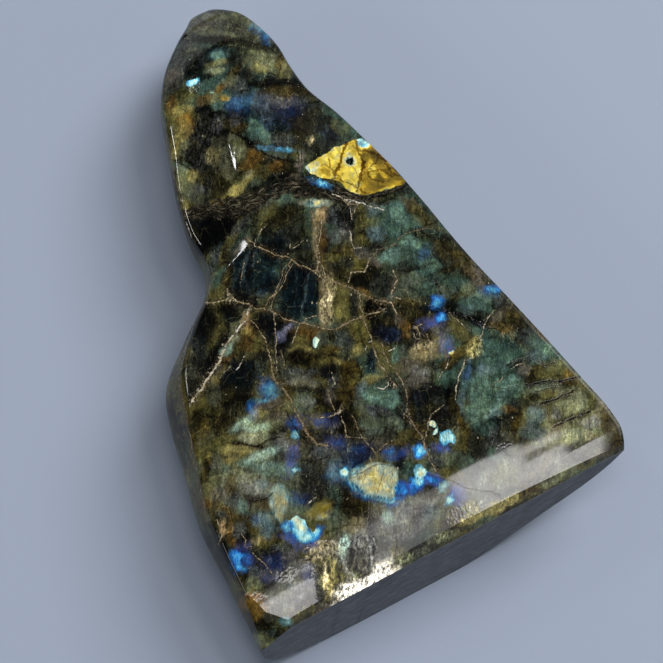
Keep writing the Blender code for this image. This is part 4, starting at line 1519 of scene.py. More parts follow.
# A line's samples are SAMPLE_PX apart, so what lies PAST_END_PX along from the nearest
# one is past the line's end. Distances count up to FAR_MM.
SAMPLE_PX = 0.5
PAST_END_PX = 0.6
FAR_MM = 3.0


def jagged(corners, salt):
    """A line's places, closer together and pushed to and fro as rock breaks."""
    corners = np.array(corners, dtype=float)
    places = []
    for start, end in zip(corners, corners[1:]):
        count = max(1, round(np.linalg.norm(end - start) / STEP_PX))
        for index in range(count):
            places.append(start + (end - start) * index / count)
    places.append(corners[-1])
    places = np.array(places)
    push = np.stack([hashed(with_depth(np.round(places)), salt + axis) for axis in (1, 2)], -1)
    push[0] = push[-1] = 0.5
    return places + SWAY_PX * (push * 2 - 1)


def line_fields(places, lines):
    """Offset in mm and distance from each point to its nearest line, and the line's values."""
    samples, sides, values = [], [], []
    for number, (*looks, corners) in enumerate(lines):
        path = jagged(corners, number)
        for start, end in zip(path, path[1:]):
            length = max(np.linalg.norm(end - start), 1e-6)
            side = (end - start) / length
            for share in np.arange(0, 1, SAMPLE_PX / length):
                samples.append(start + (end - start) * share)
                sides.append((-side[1], side[0]))
                values.append(looks)
    tree = KDTree(len(samples))
    for index, (x, y) in enumerate(samples):
        tree.insert((x, y, 0), index)
    tree.balance()
    nearest = np.array([tree.find((x, y, 0))[1] for x, y in places])
    away = places - np.array(samples)[nearest]
    side = np.array(sides)[nearest]
    straight = np.sum(away * side, axis=1)
    past_end = np.linalg.norm(away - straight[:, None] * side, axis=1) > PAST_END_PX
    offset = np.where(past_end[:, None], away, straight[:, None] * side) / PX_PER_MM
    distance = np.minimum(np.linalg.norm(away, axis=1) / PX_PER_MM, FAR_MM)
    return np.column_stack((offset, distance)), np.array(values)[nearest]


def vein_fields(places):
    """Distances along and across the dark vein in mm, and 1 inside it to 0 outside."""
    path = np.array(VEIN, dtype=float)
    best = np.full(len(places), np.inf)
    along, across, cover = (np.zeros(len(places)) for _ in range(3))
    gone = 0.0
    for start, end in zip(path, path[1:]):
        length = np.linalg.norm(end[:2] - start[:2])
        side = (end[:2] - start[:2]) / length
        offset = places - start[:2]
        share = np.clip(offset @ side / length, 0, 1)
        away = offset - (share * length)[:, None] * side
        distance = np.linalg.norm(away, axis=1)
        closer = distance < best
        half = start[2] + (end[2] - start[2]) * share
        best[closer] = distance[closer]
        along[closer] = (gone + share * length)[closer]
        across[closer] = (offset @ np.array((-side[1], side[0])))[closer]
        cover[closer] = np.clip(1.5 - distance / half, 0, 1)[closer]
        gone += length
    return np.column_stack((along / PX_PER_MM, across / PX_PER_MM, cover))


# How ragged crumbly areas are, and where they end and begin to fade, as for patches.
GRIT_WARP_PX = 4.0
GRIT_WARP_SIZE = 8.0
GRIT_END = 1.3
GRIT_FADE = 0.6


def grit_cover(places):
    """How crumbly the rock is at each place."""
    warped = places + GRIT_WARP_PX * noise_pair(with_depth(places), GRIT_WARP_SIZE, 13)
    cover = np.zeros(len(places))
    for x, y, long, wide, turn, strength in GRIT:
        reach = oval_reach(warped, x, y, long, wide, turn)
        cover = np.maximum(cover, strength * smoothed((GRIT_END - reach) / GRIT_FADE))
    return cover


# The low relief, in millimetres: the polish's waves and their sizes, the pits of crumbly
# rock and the grit they begin at, and the cracks' grooves, so many times a crack's half
# width. All of it fades out over CALM_RIM towards the base and the ground.
WAVE, WAVE_SIZE = 0.015, 19
SMALL_WAVE, SMALL_WAVE_SIZE = 0.005, 6
PIT, PIT_SIZE = 0.22, 2.6
PIT_FROM, PIT_SPAN = 0.95, 0.3
GROOVE, GROOVE_WIDTH = 0.055, 1.9
CALM_RIM = 1.5
# The fold in the head: places along it, in pixels, and its half width and depth there, in mm.
FOLD = (
    (225.5, 143, 2.0, 0.5),
    (227, 150, 1.8, 0.38),
    (229, 158, 1.5, 0.26),
    (231, 166, 1.2, 0.18),
    (233.5, 176, 1.1, 0.14),
)


def fold_depth(places):
    """The narrow groove in the head that catches the light."""
    depth = np.zeros(len(places))
    path = np.array(FOLD, dtype=float)
    for start, end in zip(path, path[1:]):
        side = end[:2] - start[:2]
        offset = places - start[:2]
        share = np.clip(offset @ side / (side @ side), 0, 1)
        half_width, middle_depth = start[2:, None] + (end - start)[2:, None] * share
        away = np.linalg.norm(offset - share[:, None] * side, axis=1) / PX_PER_MM / half_width
        depth = np.maximum(depth, middle_depth * np.exp(-away * away))
    return depth


def sink(data, points, normals, places, grit, crack, crack_looks):
    """Presses the waves, the pits, the grooves and the fold into the surface."""
    at = points / MM
    waves = WAVE * (noise(at, WAVE_SIZE, 31) + 1)
    waves += SMALL_WAVE * (noise(at, SMALL_WAVE_SIZE, 32) + 1)
    pits = PIT * np.clip(grit - PIT_FROM, 0, PIT_SPAN) / PIT_SPAN
    pits *= np.clip(rough_noise(at, PIT_SIZE, 33) + 0.2, 0, 1)
    wide = crack_looks[:, 0] / PX_PER_MM * GROOVE_WIDTH
    grooves = GROOVE * smoothed(1 - crack[:, 2] / wide)
    low = at[:, 1].min()
    off_base = smoothed((at[:, 1] - low) / CALM_RIM) * smoothed(at[:, 2] / CALM_RIM)
    depth = (waves + pits + grooves + fold_depth(places)) * off_base * MM
    moved = points - normals * depth[:, None]
    data.vertices.foreach_set("co", moved.ravel())
    data.update()


# The polish is full on what faces up or down, and duller on the walls and on slopes to the
# right. These are values of a surface's normal, and a share.
WALL_UP, WALL_FADE = 0.35, 0.35
RIGHT_FROM, RIGHT_FADE, RIGHT_DULLING = 0.05, 0.07, 0.85


def polish(normals):
    """1 where the skin is fully polished, and less where it is duller."""
    flat = smoothed((np.abs(normals[:, 2]) - WALL_UP) / WALL_FADE)
    flat *= 1 - RIGHT_DULLING * smoothed((normals[:, 0] - RIGHT_FROM) / RIGHT_FADE)
    return flat


# The lines' half widths in the tables are read generously, and drawn at these shares.
CRACK_SHARE = 0.6
SEAM_SHARE = 0.85


def mark(data):
    """Works out the markings of every point and keeps them on the mesh, then sinks them.

    The tone's fourth value is the polish, and the third value of a seam's look is the grit.
    """
    points = read_points(data, "co")
    normals = read_points(data, "normal")
    places = marked_places(points, normals)
    grit = grit_cover(places)
    crack, crack_looks = line_fields(places, CRACKS)
    seam, seam_looks = line_fields(places, SEAMS)
    keep(data, "tone", np.column_stack((rock_tones(places), polish(normals))))
    keep(data, "flash", flash_fields(places))
    keep(data, "vein", vein_fields(places))
    keep(data, "crack", crack)
    keep(data, "crack_look", crack_looks * np.array((CRACK_SHARE / PX_PER_MM, 1, 1)))
    keep(data, "seam", seam)
    seam_widths = seam_looks[:, 0] * SEAM_SHARE / PX_PER_MM
    keep(data, "seam_look", np.column_stack((seam_widths, seam_looks[:, 1], grit)))
    sink(data, points, normals, places, grit, crack, crack_looks)


# The material. Places in it are in millimetres and colours are linear.
class Wiring:
    """Short calls for the nodes of one material."""

    def __init__(self, material):
        self.nodes = material.node_tree.nodes
        self.links = material.node_tree.links

    def put(self, socket, value):
        """Links another node's output to a socket, or sets a plain value on it."""
        if isinstance(value, bpy.types.NodeSocket):
            self.links.new(value, socket)
        elif isinstance(value, (tuple, list)) and socket.type == "RGBA":
            socket.default_value = (*value, 1.0)
        else:
            socket.default_value = value

    def node(self, kind, inputs, **settings):
        node = self.nodes.new("ShaderNode" + kind)
        for name, value in settings.items():
            setattr(node, name, value)
        for name, value in inputs.items():
            self.put(node.inputs[name], value)
        return node

    def math(self, operation, *values):
        inputs = dict(enumerate(values))
        return self.node("Math", inputs, operation=operation).outputs[0]

    def times(self, first, second):
        return self.math("MULTIPLY", first, second)

    def plus(self, first, second):
        return self.math("ADD", first, second)

    def weighted(self, value, weight, start):
        """The start with a share of the value added."""
        return self.math("MULTIPLY_ADD", value, weight, start)

    def fade(self, share, at_none, at_full):
        """One value where the share is 0, another where it is 1, and a line between."""
        return self.math("MULTIPLY_ADD", share, at_full - at_none, at_none)

    def vector(self, operation, *values):
        node = self.node("VectorMath", {}, operation=operation)
        for index, value in enumerate(values):
            socket = node.inputs["Scale"] if operation == "SCALE" and index else node.inputs[index]
            self.put(socket, value)
        return node.outputs["Value" if operation == "LENGTH" else "Vector"]

    def stretch(self, value, low, high, smooth=True):
        """Maps low to 0 and high to 1, with the ends held."""
        kind = "SMOOTHSTEP" if smooth else "LINEAR"
        inputs = {"Value": value, "From Min": low, "From Max": high}
        return self.node("MapRange", inputs, interpolation_type=kind).outputs[0]

    def mix(self, share, first, second, blend="MIX"):
        """Blends two colours. A colour mix's own sockets have these numbers."""
        node = self.node("Mix", {}, data_type="RGBA", blend_type=blend)
        for index, value in ((0, share), (6, first), (7, second)):
            self.put(node.inputs[index], value)
        return node.outputs[2]

    def tint(self, share, colour, by):
        return self.mix(share, colour, by, "MULTIPLY")

    def noise(self, at, scale, detail=3.0, roughness=0.55):
        inputs = {"Vector": at, "Scale": scale, "Detail": detail, "Roughness": roughness}
        return self.node("TexNoise", inputs).outputs

    def clouds(self, at, low, high, *settings):
        """Noise whose values from low to high become a soft step from 0 to 1."""
        return self.stretch(self.noise(at, *settings)["Fac"], low, high)

    def spread(self, at, low, high, *settings):
        """The same with a straight slope."""
        return self.stretch(self.noise(at, *settings)["Fac"], low, high, False)

    def push(self, at, reach, *settings):
        """A push to and fro that wanders from place to place, in millimetres."""
        wave = self.vector("SUBTRACT", self.noise(at, *settings)["Color"], (0.5, 0.5, 0.5))
        return self.vector("SCALE", wave, reach)

    def cells(self, at, scale, feature="F1"):
        inputs = {"Vector": at, "Scale": scale}
        return self.node("TexVoronoi", inputs, feature=feature).outputs

    def edge(self, at, scale):
        """The distance to the nearest joint between cells."""
        return self.cells(at, scale, "DISTANCE_TO_EDGE")["Distance"]

    def split(self, vector):
        return self.node("SeparateXYZ", {"Vector": vector}).outputs

    def join(self, x, y, z):
        return self.node("CombineXYZ", {0: x, 1: y, 2: z}).outputs[0]

    def stored(self, name):
        return self.node("Attribute", {}, attribute_name=name).outputs

    def values(self, name):
        """The three values of a stored vector."""
        return self.split(self.stored(name)["Vector"])

    def ramp(self, value, stops):
        node = self.node("ValToRGB", {0: value})
        elements = node.color_ramp.elements
        while len(elements) < len(stops):
            elements.new(0.5)
        for element, (position, colour) in zip(elements, stops):
            element.position = position
            element.color = (*linear(colour), 1.0)
        return node.outputs[0]


# The colours along the flashes' hue, along a crack's paleness and along the saw's streaks.
FLASH_HUES = (
    (0.0, (112, 110, 160)),
    (0.1, (88, 100, 170)),
    (0.2, (44, 84, 172)),
    (0.3, (50, 136, 216)),
    (0.4, (108, 204, 240)),
    (0.5, (200, 252, 246)),
    (0.6, (254, 246, 186)),
    (0.7, (252, 232, 96)),
    (0.8, (206, 170, 52)),
    (0.9, (122, 102, 36)),
    (1.0, (74, 62, 24)),
)
CRACK_TONES = (
    (0.0, (48, 38, 20)),
    (0.35, (108, 92, 54)),
    (0.55, (150, 130, 90)),
    (0.75, (202, 188, 150)),
    (1.0, (250, 248, 238)),
)
SAWN_TONES = ((0.25, (90, 92, 96)), (0.5, (116, 118, 122)), (0.75, (142, 144, 148)))

# Pushes: how far in millimetres, then lumps to the millimetre, detail and roughness.
WANDER_PUSH = (2.4, 0.3, 3.0)
SWAY_PUSH = (0.55, 1.5, 4.0, 0.7)
BOW_PUSH = (3.0, 0.22, 2.0)
SHAKE_PUSH = (0.6, 0.9, 3.0)

# Noises: the two values that become 0 and 1, then lumps to the millimetre, detail, roughness.
CLOUDS = (0.32, 0.68, 0.55, 6.0, 0.64)
FIBRES = (0.34, 0.66, 1.0, 5.0, 0.65)
FINE_GRAIN = (0.32, 0.68, 1.5, 5.0, 0.8)
COARSE_GRAIN = (0.34, 0.66, 1.0, 2.0)
WARM_ROCK = (0.42, 0.62, 0.35, 4.0)
COLD_ROCK = (0.5, 0.66, 0.3, 4.0)
CRUMBS = (0.36, 0.66, 1.0, 5.0, 0.82)
GLINT_FLECK_CROWDS = (0.4, 0.55, 0.14)
BLOCK_BREAKS = (0.38, 0.56, 0.12)
SHARD_BREAKS = (0.46, 0.6, 0.2)
HAIR_BREAKS = (0.47, 0.57, 0.5)
THREADS = (0.62, 0.74, 1.0)
VEIN_HAIRS = (0.51, 0.65, 2.6, 4.0, 0.72)
VEIN_CRUMBS = (0.52, 0.7, 2.2, 4.0, 0.75)
VEIN_TUFTS = (0.42, 0.56, 0.24, 4.0)
FLASH_CLOUDS = (0.3, 0.7, 0.5, 5.0, 0.6)
FLASH_DRIFT = (0.3, 0.7, 0.22, 4.0, 0.6)
FLASH_FIBRES = (0.34, 0.66, 1.0, 4.0, 0.75)
LINE_WIDTHS = (0.32, 0.68, 1.1, 3.0, 0.7)
RUST_PATCHES = (0.4, 0.6, 0.7)
CRACK_GAPS = (0.36, 0.5, 0.9)

# Draws: how closely a noise is packed along the picture's x, its upright and z, and an
# offset for a noise of its own.
CLOUD_DRAW = ((1.0, 0.42, 0.8),)
FIBRE_DRAW = ((1.3, 0.16, 0.6),)
GRAIN_DRAW = ((3.6, 1.6, 2.4),)
COLD_DRAW = ((1.0, 0.4, 1.0), 40.0)
CRUMB_DRAW = ((1.5, 0.7, 1.0),)
GLINT_FLECK_DRAW = ((1.0, 0.6, 1.0),)
BLOCK_DRAW = ((0.75, 1.2, 1.0),)
SHARD_DRAW = ((1.5, 0.5, 1.0), 17.0)
HAIR_DRAW = ((1.3, 0.7, 1.0), 31.0)
THREAD_DRAW = ((2.4, 0.12, 1.0), 7.0)
FLASH_DRAW = ((2.3, 0.35, 1.4),)

# Cells to the millimetre, and in millimetres the joints' half width and the dark's beside.
BLOCK_CELLS = (0.19, 0.26, 0.9)
SHARD_CELLS = (0.3, 0.14, 0.4)
HAIR_CELLS = 0.28
GLINT_FLECK_CELLS = 0.85
FLASH_CELLS = 0.6
SPLINTER_CELLS = 0.75
DENT_CELLS = 1.5

WARM_TINT = (1.1, 1.04, 0.7)
COLD_TINT = (0.84, 1.0, 1.03)
GLINT_FLECK_COLOUR = (0.58, 0.53, 0.36)
JOINT_COLOUR = (0.0035, 0.003, 0.0018)
HAIR_GLINT_GAIN = (3.2, 3.0, 2.4)
HAIR_GLINT_LIGHT = (0.04, 0.035, 0.015)
VEIN_DARK = (0.004, 0.004, 0.003)
VEIN_PALE = (0.27, 0.23, 0.15)
SEAM_TINT = (0.24, 0.17, 0.1)
RUST_COLOUR = (0.13, 0.08, 0.026)
CRACK_SHADOW_COLOUR = (0.02, 0.017, 0.01)


def drawn(wires, at, draw, offset=0.0):
    """Places turned to the picture's upright and drawn out along it, for fibres."""
    upright = wires.node("VectorRotate", {"Vector": at, "Angle": TURN}).outputs[0]
    inputs = {"Vector": upright, "Scale": draw, "Location": (offset, 0, 0)}
    return wires.node("Mapping", inputs).outputs[0]


def power_shade(wires, reach, middle, parts):
    """A brightness factor from weighted noises that are each 0 to 1, about middle."""
    level = -0.5
    for weight, value in parts:
        level = wires.weighted(value, weight, level)
    shade = wires.times(wires.math("POWER", reach, level), middle)
    return wires.join(shade, shade, shade)


def rock_colour(wires, at, wander, grit):
    """The stored tones with the fine grain of the rock over them."""
    tone = wires.stored("tone")["Color"]
    red, green, _ = wires.split(tone)
    cloud = wires.spread(drawn(wires, wander, *CLOUD_DRAW), *CLOUDS)
    fibre = wires.spread(drawn(wires, wander, *FIBRE_DRAW), *FIBRES)
    fine = wires.spread(at, *FINE_GRAIN)
    grain = wires.spread(drawn(wires, at, *GRAIN_DRAW), *COARSE_GRAIN)
    light = wires.stretch(wires.math("MAXIMUM", green, red), 0.02, 0.1)
    parts = ((0.24, cloud), (0.24, fibre), (0.28, fine), (0.24, grain))
    colour = wires.tint(1.0, tone, power_shade(wires, wires.fade(light, 150.0, 25.0), 0.86, parts))
    warm = wires.clouds(wander, *WARM_ROCK)
    colour = wires.tint(wires.times(warm, 0.5), colour, WARM_TINT)
    cold = wires.clouds(drawn(wires, wander, *COLD_DRAW), *COLD_ROCK)
    colour = wires.tint(wires.times(cold, 0.4), colour, COLD_TINT)
    crumb = wires.spread(drawn(wires, at, *CRUMB_DRAW), *CRUMBS)
    speckle = wires.fade(wires.math("POWER", crumb, 2.0), 0.06, 4.26)
    crumbly = wires.tint(1.0, tone, wires.join(speckle, speckle, speckle))
    ragged = wires.plus(grit, wires.fade(cloud, -0.45, 0.45))
    return wires.mix(wires.stretch(ragged, 0.3, 0.75), colour, crumbly)


def painted_glint_flecks(wires, at, colour):
    """Small pale dots in dark rock only: painted glints off the edges of crystals."""
    dark = wires.stretch(wires.values("tone")[1], 0.09, 0.03)
    crowd = wires.times(wires.clouds(at, *GLINT_FLECK_CROWDS), dark)
    dot = wires.cells(drawn(wires, at, *GLINT_FLECK_DRAW), GLINT_FLECK_CELLS)
    number = wires.split(dot["Color"])[0]
    size = wires.times(wires.stretch(number, 0.45, 1.0, False), crowd)
    near = wires.math("LESS_THAN", dot["Distance"], wires.times(size, 0.17))
    return wires.mix(wires.times(near, 0.75), colour, GLINT_FLECK_COLOUR)


def joint_lines(wires, at, scale, width, soft):
    """1 on the joints between cells and a softer dark beside them."""
    edge = wires.edge(at, scale)
    line = wires.stretch(edge, width * scale, 0.0)
    halo = wires.times(wires.stretch(edge, soft * scale, 0.0), 0.45)
    return wires.math("MAXIMUM", line, halo)


def dark_joints(wires, at, bowed, light, colour):
    """Dark joints round blocks and shards of rock, broken off here and there."""
    rugged = wires.vector("ADD", bowed, wires.push(at, *SHAKE_PUSH))
    blocks = joint_lines(wires, drawn(wires, rugged, *BLOCK_DRAW), *BLOCK_CELLS)
    blocks = wires.times(blocks, wires.clouds(at, *BLOCK_BREAKS))
    shards = joint_lines(wires, drawn(wires, rugged, *SHARD_DRAW), *SHARD_CELLS)
    shards = wires.times(shards, wires.clouds(at, *SHARD_BREAKS))
    line = wires.math("MAXIMUM", blocks, shards)
    return wires.mix(wires.times(line, wires.fade(light, 0.9, 0.55)), colour, JOINT_COLOUR)


def pale_hairs_and_glints(wires, at, bowed, light, colour):
    """Thin pale hairs between the grains, partly pale rock and partly painted glints off fine
    fractures, and faint upright threads, fainter on pale rock.
    """
    place = drawn(wires, bowed, *HAIR_DRAW)
    hair = wires.stretch(wires.edge(place, HAIR_CELLS), 0.03, 0.008)
    hair = wires.times(hair, wires.clouds(place, *HAIR_BREAKS))
    thread = wires.clouds(drawn(wires, at, *THREAD_DRAW), *THREADS)
    pale = wires.math("MAXIMUM", wires.times(hair, 0.75), wires.times(thread, 0.4))
    pale = wires.times(pale, wires.fade(light, 1.0, 0.25))
    return wires.mix(pale, colour, wires.vector("MULTIPLY_ADD", colour, HAIR_GLINT_GAIN, HAIR_GLINT_LIGHT))


def hairlines(wires, at, colour):
    """The finest lines of the rock: dark joints, then pale hairs that are partly painted glints.
    """
    bowed = wires.vector("ADD", at, wires.push(at, *BOW_PUSH))
    light = wires.stretch(wires.values("tone")[1], 0.05, 0.13)
    colour = dark_joints(wires, at, bowed, light, colour)
    return pale_hairs_and_glints(wires, at, bowed, light, colour)


def vein_colour(wires, at, colour):
    """The dark vein with its light grey hairs."""
    along, across, cover = wires.values("vein")
    bend = wires.weighted(wires.noise(at, 0.2, 3.0)["Fac"], 5.0, across)
    hair = wires.spread(wires.join(wires.times(along, 0.16), bend, 0.0), *VEIN_HAIRS)
    bushy = wires.clouds(at, *VEIN_TUFTS)
    pale = wires.times(hair, wires.fade(bushy, 0.1, 0.9))
    pale = wires.weighted(wires.spread(at, *VEIN_CRUMBS), 0.3, pale)
    ragged = wires.fade(wires.noise(at, 0.4, 5.0, 0.72)["Fac"], -1.75, 1.65)
    inside = wires.stretch(wires.plus(cover, ragged), 0.4, 0.62)
    return wires.mix(wires.times(inside, 0.95), colour, wires.mix(pale, VEIN_DARK, VEIN_PALE))


def flash_cover(wires, cloud, depth, hue, strength):
    """The flashes' strength inside them and 0 outside; the bluer, the softer their edges."""
    blue = wires.stretch(hue, 0.44, 0.3)
    ragged = wires.times(wires.fade(cloud, -0.45, 0.45), wires.fade(blue, 0.3, 1.0))
    soft = wires.plus(wires.fade(blue, 0.12, 0.87), wires.fade(strength, 0.9, 0.0))
    inside = wires.math("DIVIDE", wires.plus(depth, ragged), soft)
    return wires.times(wires.stretch(inside, -1.0, 1.0), strength)


def flash_hue(wires, wander, fibre, cell, hue):
    """The stored hue, varied from place to place and streaked most where it is yellow."""
    yellow = wires.times(wires.stretch(hue, 0.56, 0.64), wires.stretch(hue, 0.84, 0.76))
    streaks = wires.times(wires.fade(yellow, 0.06, 0.2), wires.math("SUBTRACT", fibre, 0.45))
    varied = wires.plus(hue, wires.fade(cell, -0.02, 0.02))
    varied = wires.plus(varied, wires.fade(wires.spread(wander, *FLASH_DRIFT), -0.08, 0.08))
    return wires.plus(varied, streaks)


def flash_colour(wires, wander, colour):
    """The blue, green and gold flashes."""
    depth, hue, strength = wires.values("flash")
    cloud = wires.spread(wander, *FLASH_CLOUDS)
    fibre = wires.spread(drawn(wires, wander, *FLASH_DRAW), *FLASH_FIBRES)
    cell = wires.split(wires.cells(wander, FLASH_CELLS)["Color"])
    glow = wires.ramp(flash_hue(wires, wander, fibre, cell[1], hue), FLASH_HUES)
    parts = ((0.3, cloud), (0.45, fibre), (0.25, cell[0]))
    glow = wires.tint(1.0, glow, power_shade(wires, 9.0, 1.08, parts))
    return wires.mix(flash_cover(wires, cloud, depth, hue, strength), colour, glow)


def line_cover(wires, name, half_width, sway):
    """1 on a stored network's lines and 0 off them, and two values for what lies beside.

    They are the distance to the line in half widths, and 1 near it to 0 further off.
    """
    x, y, distance = wires.values(name)
    gap = wires.vector("LENGTH", wires.vector("ADD", wires.join(x, y, 0.0), sway))
    share = wires.math("DIVIDE", gap, half_width)
    near = wires.stretch(distance, 0.95, 0.65)
    return wires.times(wires.stretch(share, 1.25, 0.7), near), share, near


def splinters(wires, wander, distance, width, uneven):
    """Small chips beside the wider cracks."""
    chip = wires.stretch(wires.edge(wander, SPLINTER_CELLS), 0.055, 0.01)
    chip = wires.times(chip, wires.stretch(distance, 1.5, 0.5))
    chip = wires.times(chip, wires.stretch(width, 0.12, 0.2))
    return wires.times(chip, wires.stretch(uneven, -0.1, 0.15))


def rusted(wires, at, distance, rust, colour):
    """Brown rock in patches beside the cracks that carry rust."""
    stain = wires.times(wires.stretch(distance, 1.3, 0.2), rust)
    stain = wires.times(stain, wires.clouds(at, *RUST_PATCHES))
    return wires.mix(wires.times(stain, 0.6), colour, RUST_COLOUR)


def crack_colour(wires, at, wander, sway, widths, colour):
    """The rock with its cracks, with rust and a painted shadow beside them, and the cracks' cover.
    """
    width, paleness, rust = wires.values("crack_look")
    distance = wires.values("crack")[2]
    cover, share, near = line_cover(wires, "crack", wires.times(width, widths), sway)
    colour = rusted(wires, at, distance, rust, colour)
    # A painted shadow darkens the rock along both sides of each crack.
    beside = wires.times(wires.stretch(share, 3.2, 1.0), near)
    colour = wires.mix(wires.times(beside, 0.45), colour, CRACK_SHADOW_COLOUR)
    uneven = wires.fade(wires.noise(at, 1.8, 3.0)["Fac"], -0.55, 0.55)
    cover = wires.times(cover, wires.fade(wires.clouds(at, *CRACK_GAPS), 0.3, 1.0))
    splinter = splinters(wires, wander, distance, width, uneven)
    cover = wires.math("MAXIMUM", cover, wires.times(splinter, 0.7))
    tone = wires.ramp(wires.plus(paleness, uneven), CRACK_TONES)
    return wires.mix(cover, colour, tone), cover


# The sawn base's y in the row frame, in millimetres, and how far above it its look reaches.
BASE_Y = -ROWS[-1][0] / 2
BASE_SKIN = 0.06
SAW_SLANT = math.radians(12)
SAW_DRAW = (0.5, 1.0, 1.5)
STONE_IOR = 1.56


def sawn_face(wires, at):
    """1 on the sawn base and 0 elsewhere, and the slanting streaks of the saw."""
    sawn = wires.math("LESS_THAN", wires.split(at)[1], BASE_Y + BASE_SKIN)
    inputs = {"Vector": at, "Rotation": (0, SAW_SLANT, 0), "Scale": SAW_DRAW}
    slant = wires.node("Mapping", inputs).outputs[0]
    return sawn, wires.noise(slant, 0.7, 5.0, 0.65)["Fac"]


def set_polish(wires, shader, grit, crack, sawn):
    """The polish: duller on the walls, the grit and the cracks, none on the sawn face."""
    polished = wires.stored("tone")["Alpha"]
    rough = wires.fade(polished, 0.3, 0.05)
    rough = wires.weighted(wires.stretch(grit, 0.9, 1.4), 0.45, rough)
    rough = wires.weighted(crack, 0.3, rough)
    rough = wires.math("MAXIMUM", rough, wires.times(sawn, 0.85))
    wires.put(shader.inputs["Roughness"], rough)
    dull = wires.times(wires.stretch(grit, 0.75, 0.92), wires.stretch(grit, 1.36, 1.24))
    gloss = wires.times(wires.fade(polished, 0.12, 0.5), wires.fade(dull, 1.0, 0.25))
    wires.put(shader.inputs["Specular IOR Level"], gloss)
    shader.inputs["IOR"].default_value = STONE_IOR


def set_dents(wires, shader, at, grit, crack, seam, sawn_streaks):
    """Small dents: down at the lines, and uneven in the grit and along the saw's streaks."""
    dents = wires.times(wires.plus(crack, wires.times(seam, 0.5)), -0.5)
    grit_bumps = wires.times(wires.cells(at, DENT_CELLS)["Distance"], grit)
    dents = wires.plus(dents, wires.times(grit_bumps, 0.4))
    dents = wires.plus(dents, wires.times(sawn_streaks, 1.2))
    bump = wires.node("Bump", {"Height": dents, "Strength": 0.5, "Distance": 0.1 * MM})
    wires.put(shader.inputs["Normal"], bump.outputs[0])


def build_material():
    material = bpy.data.materials.new("labradorite")
    material.use_nodes = True
    wires = Wiring(material)
    shader = material.node_tree.nodes["Principled BSDF"]
    at = wires.vector("SCALE", wires.node("TexCoord", {}).outputs["Object"], 1 / MM)
    wander = wires.vector("ADD", at, wires.push(at, *WANDER_PUSH))
    sway = wires.push(at, *SWAY_PUSH)
    seam_width, seam_strength, grit = wires.values("seam_look")

    colour = rock_colour(wires, at, wander, grit)
    colour = hairlines(wires, at, colour)
    colour = painted_glint_flecks(wires, at, colour)
    colour = vein_colour(wires, at, colour)
    colour = flash_colour(wires, wander, colour)

    widths = wires.fade(wires.spread(at, *LINE_WIDTHS), 0.1, 1.6)
    seam, _, _ = line_cover(wires, "seam", wires.times(seam_width, widths), sway)
    deep = wires.vector("MULTIPLY", colour, SEAM_TINT)
    colour = wires.mix(wires.times(seam, seam_strength), colour, deep)
    colour, crack = crack_colour(wires, at, wander, sway, widths, colour)

    sawn, streak = sawn_face(wires, at)
    colour = wires.mix(sawn, colour, wires.ramp(streak, SAWN_TONES))
    wires.put(shader.inputs["Base Color"], colour)
    set_polish(wires, shader, grit, crack, sawn)
    set_dents(wires, shader, at, grit, crack, seam, wires.times(sawn, streak))
    return material


# The studio.
SENSOR_MM = 36.0
CLIP_NEAR, CLIP_FAR = 0.05, 30.0


def place_camera():
    """A camera whose picture has the photo's scale at its middle point."""
    data = bpy.data.cameras.new("camera")
    data.sensor_fit = "HORIZONTAL"
    data.sensor_width = SENSOR_MM
    data.lens = SENSOR_MM * PX_PER_M * DISTANCE / FRAME_PX
    data.clip_start, data.clip_end = CLIP_NEAR, CLIP_FAR
    camera = bpy.data.objects.new("camera", data)
    axes = Matrix((RIGHT, UP, TOWARDS)).transposed().to_4x4()
    camera.matrix_world = Matrix.Translation(Vector(TARGET + TOWARDS * DISTANCE)) @ axes
    bpy.context.scene.collection.objects.link(camera)
    bpy.context.scene.camera = camera


# Overhead panels, which look straight down and are seen mirrored along the base: place, size
# along x and y in metres, and radiance.
OVERHEAD_Z = 1.28
OVERHEAD_COLOUR = (1.0, 0.98, 0.98)
OVERHEAD = {
    "overhead_far": ((0.465, -0.31), (0.05, 0.38), 6.4),
    "overhead_edge": ((0.4125, -0.249), (0.055, 0.522), 6.4),
    "overhead_bend": ((0.3625, -0.24), (0.045, 0.54), 6.4),
    "overhead_right": ((0.3125, -0.2375), (0.055, 0.545), 6.4),
    "overhead_middle": ((0.2, -0.24), (0.17, 0.52), 1.7),
    "overhead_left": ((-0.05, -0.24), (0.3, 0.5), 5.6),
}
# The other lights: place, the point each faces, width and height in metres, radiance and
# colour. The two small ones are seen mirrored on the ridge and in the head's fold.
WHITE = (1.0, 1.0, 1.0)
LIGHTS = {
    "key": ((1.05, 0.12, 1.2), (0, 0, 0), (0.8, 0.9), 5.6, (1.0, 0.99, 0.97)),
    "back": ((0.1, 1.9, 0.8), (0, 0, 0), (2.4, 1.0), 0.4, WHITE),
    "front": ((0.5, -1.8, 0.9), (0, 0, 0), (1.8, 0.9), 0.4, WHITE),
    "wall": ((-1.8, -0.1, 1.0), (0, 0, 0), (1.6, 0.5), 2.0, WHITE),
    "groove": ((-0.44, 0.9, 1.25), (-0.44, 0.9, 0), (0.07, 0.24), 22.0, WHITE),
    "ridge": ((-0.02, 0.87, 0.9), (0, 0, 0), (0.03, 0.09), 16.0, WHITE),
}
SKY = (0.55, 0.62, 0.75, 1.0)
SKY_STRENGTH = 0.03


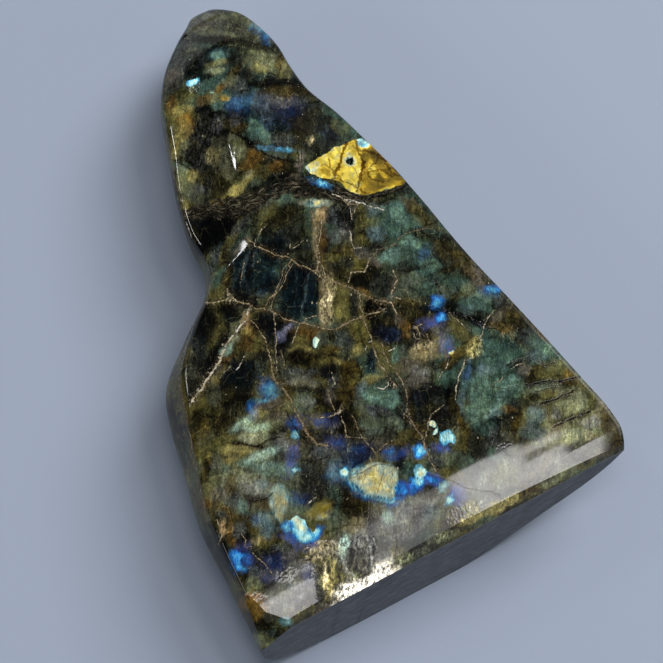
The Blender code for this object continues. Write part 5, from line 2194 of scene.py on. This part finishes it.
def area_light(name, place, aim, size, radiance, colour):
    """A flat panel whose own brightness is radiance, whatever its size."""
    data = bpy.data.lights.new(name, "AREA")
    data.shape = "RECTANGLE"
    data.size, data.size_y = size
    data.energy = radiance * math.pi * size[0] * size[1]
    data.color = colour
    light = bpy.data.objects.new(name, data)
    light.location = place
    light.rotation_euler = (Vector(aim) - Vector(place)).to_track_quat("-Z", "Y").to_euler()
    bpy.context.scene.collection.objects.link(light)


def light_studio():
    """All lights, a faint sky, and colours shown as they are."""
    for name, ((x, y), size, radiance) in OVERHEAD.items():
        area_light(name, (x, y, OVERHEAD_Z), (x, y, 0), size, radiance, OVERHEAD_COLOUR)
    for name, (place, aim, size, radiance, colour) in LIGHTS.items():
        area_light(name, place, aim, size, radiance, colour)
    world = bpy.data.worlds.new("studio")
    world.use_nodes = True
    background = world.node_tree.nodes["Background"]
    background.inputs["Color"].default_value = SKY
    background.inputs["Strength"].default_value = SKY_STRENGTH
    bpy.context.scene.world = world
    bpy.context.scene.view_settings.view_transform = "Standard"


FLOOR_SIZE = 3.0
FLOOR_COLOUR = (0.465, 0.54, 0.68, 1.0)
FLOOR_ROUGHNESS = 0.9
FLOOR_GLOSS = 0.1


def lay_floor():
    """The pale blue paper under the stone."""
    mesh = bmesh.new()
    bmesh.ops.create_grid(mesh, x_segments=1, y_segments=1, size=FLOOR_SIZE)
    data = bpy.data.meshes.new("floor")
    mesh.to_mesh(data)
    mesh.free()
    floor = bpy.data.objects.new("floor", data)
    bpy.context.scene.collection.objects.link(floor)
    material = bpy.data.materials.new("paper")
    material.use_nodes = True
    shader = material.node_tree.nodes["Principled BSDF"]
    shader.inputs["Base Color"].default_value = FLOOR_COLOUR
    shader.inputs["Roughness"].default_value = FLOOR_ROUGHNESS
    shader.inputs["Specular IOR Level"].default_value = FLOOR_GLOSS
    data.materials.append(material)


# Edges that turn more than this stay sharp.
SHARP_ANGLE = math.radians(22)


def make_stone():
    data = stone_mesh()
    mark(data)
    data.materials.append(build_material())
    data.shade_smooth()
    data.set_sharp_from_angle(angle=SHARP_ANGLE)
    stone = bpy.data.objects.new("polished_stone", data)
    bpy.context.scene.collection.objects.link(stone)
    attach(stone, "root")
    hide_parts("stone")


place_camera()
light_studio()
lay_floor()
make_stone()
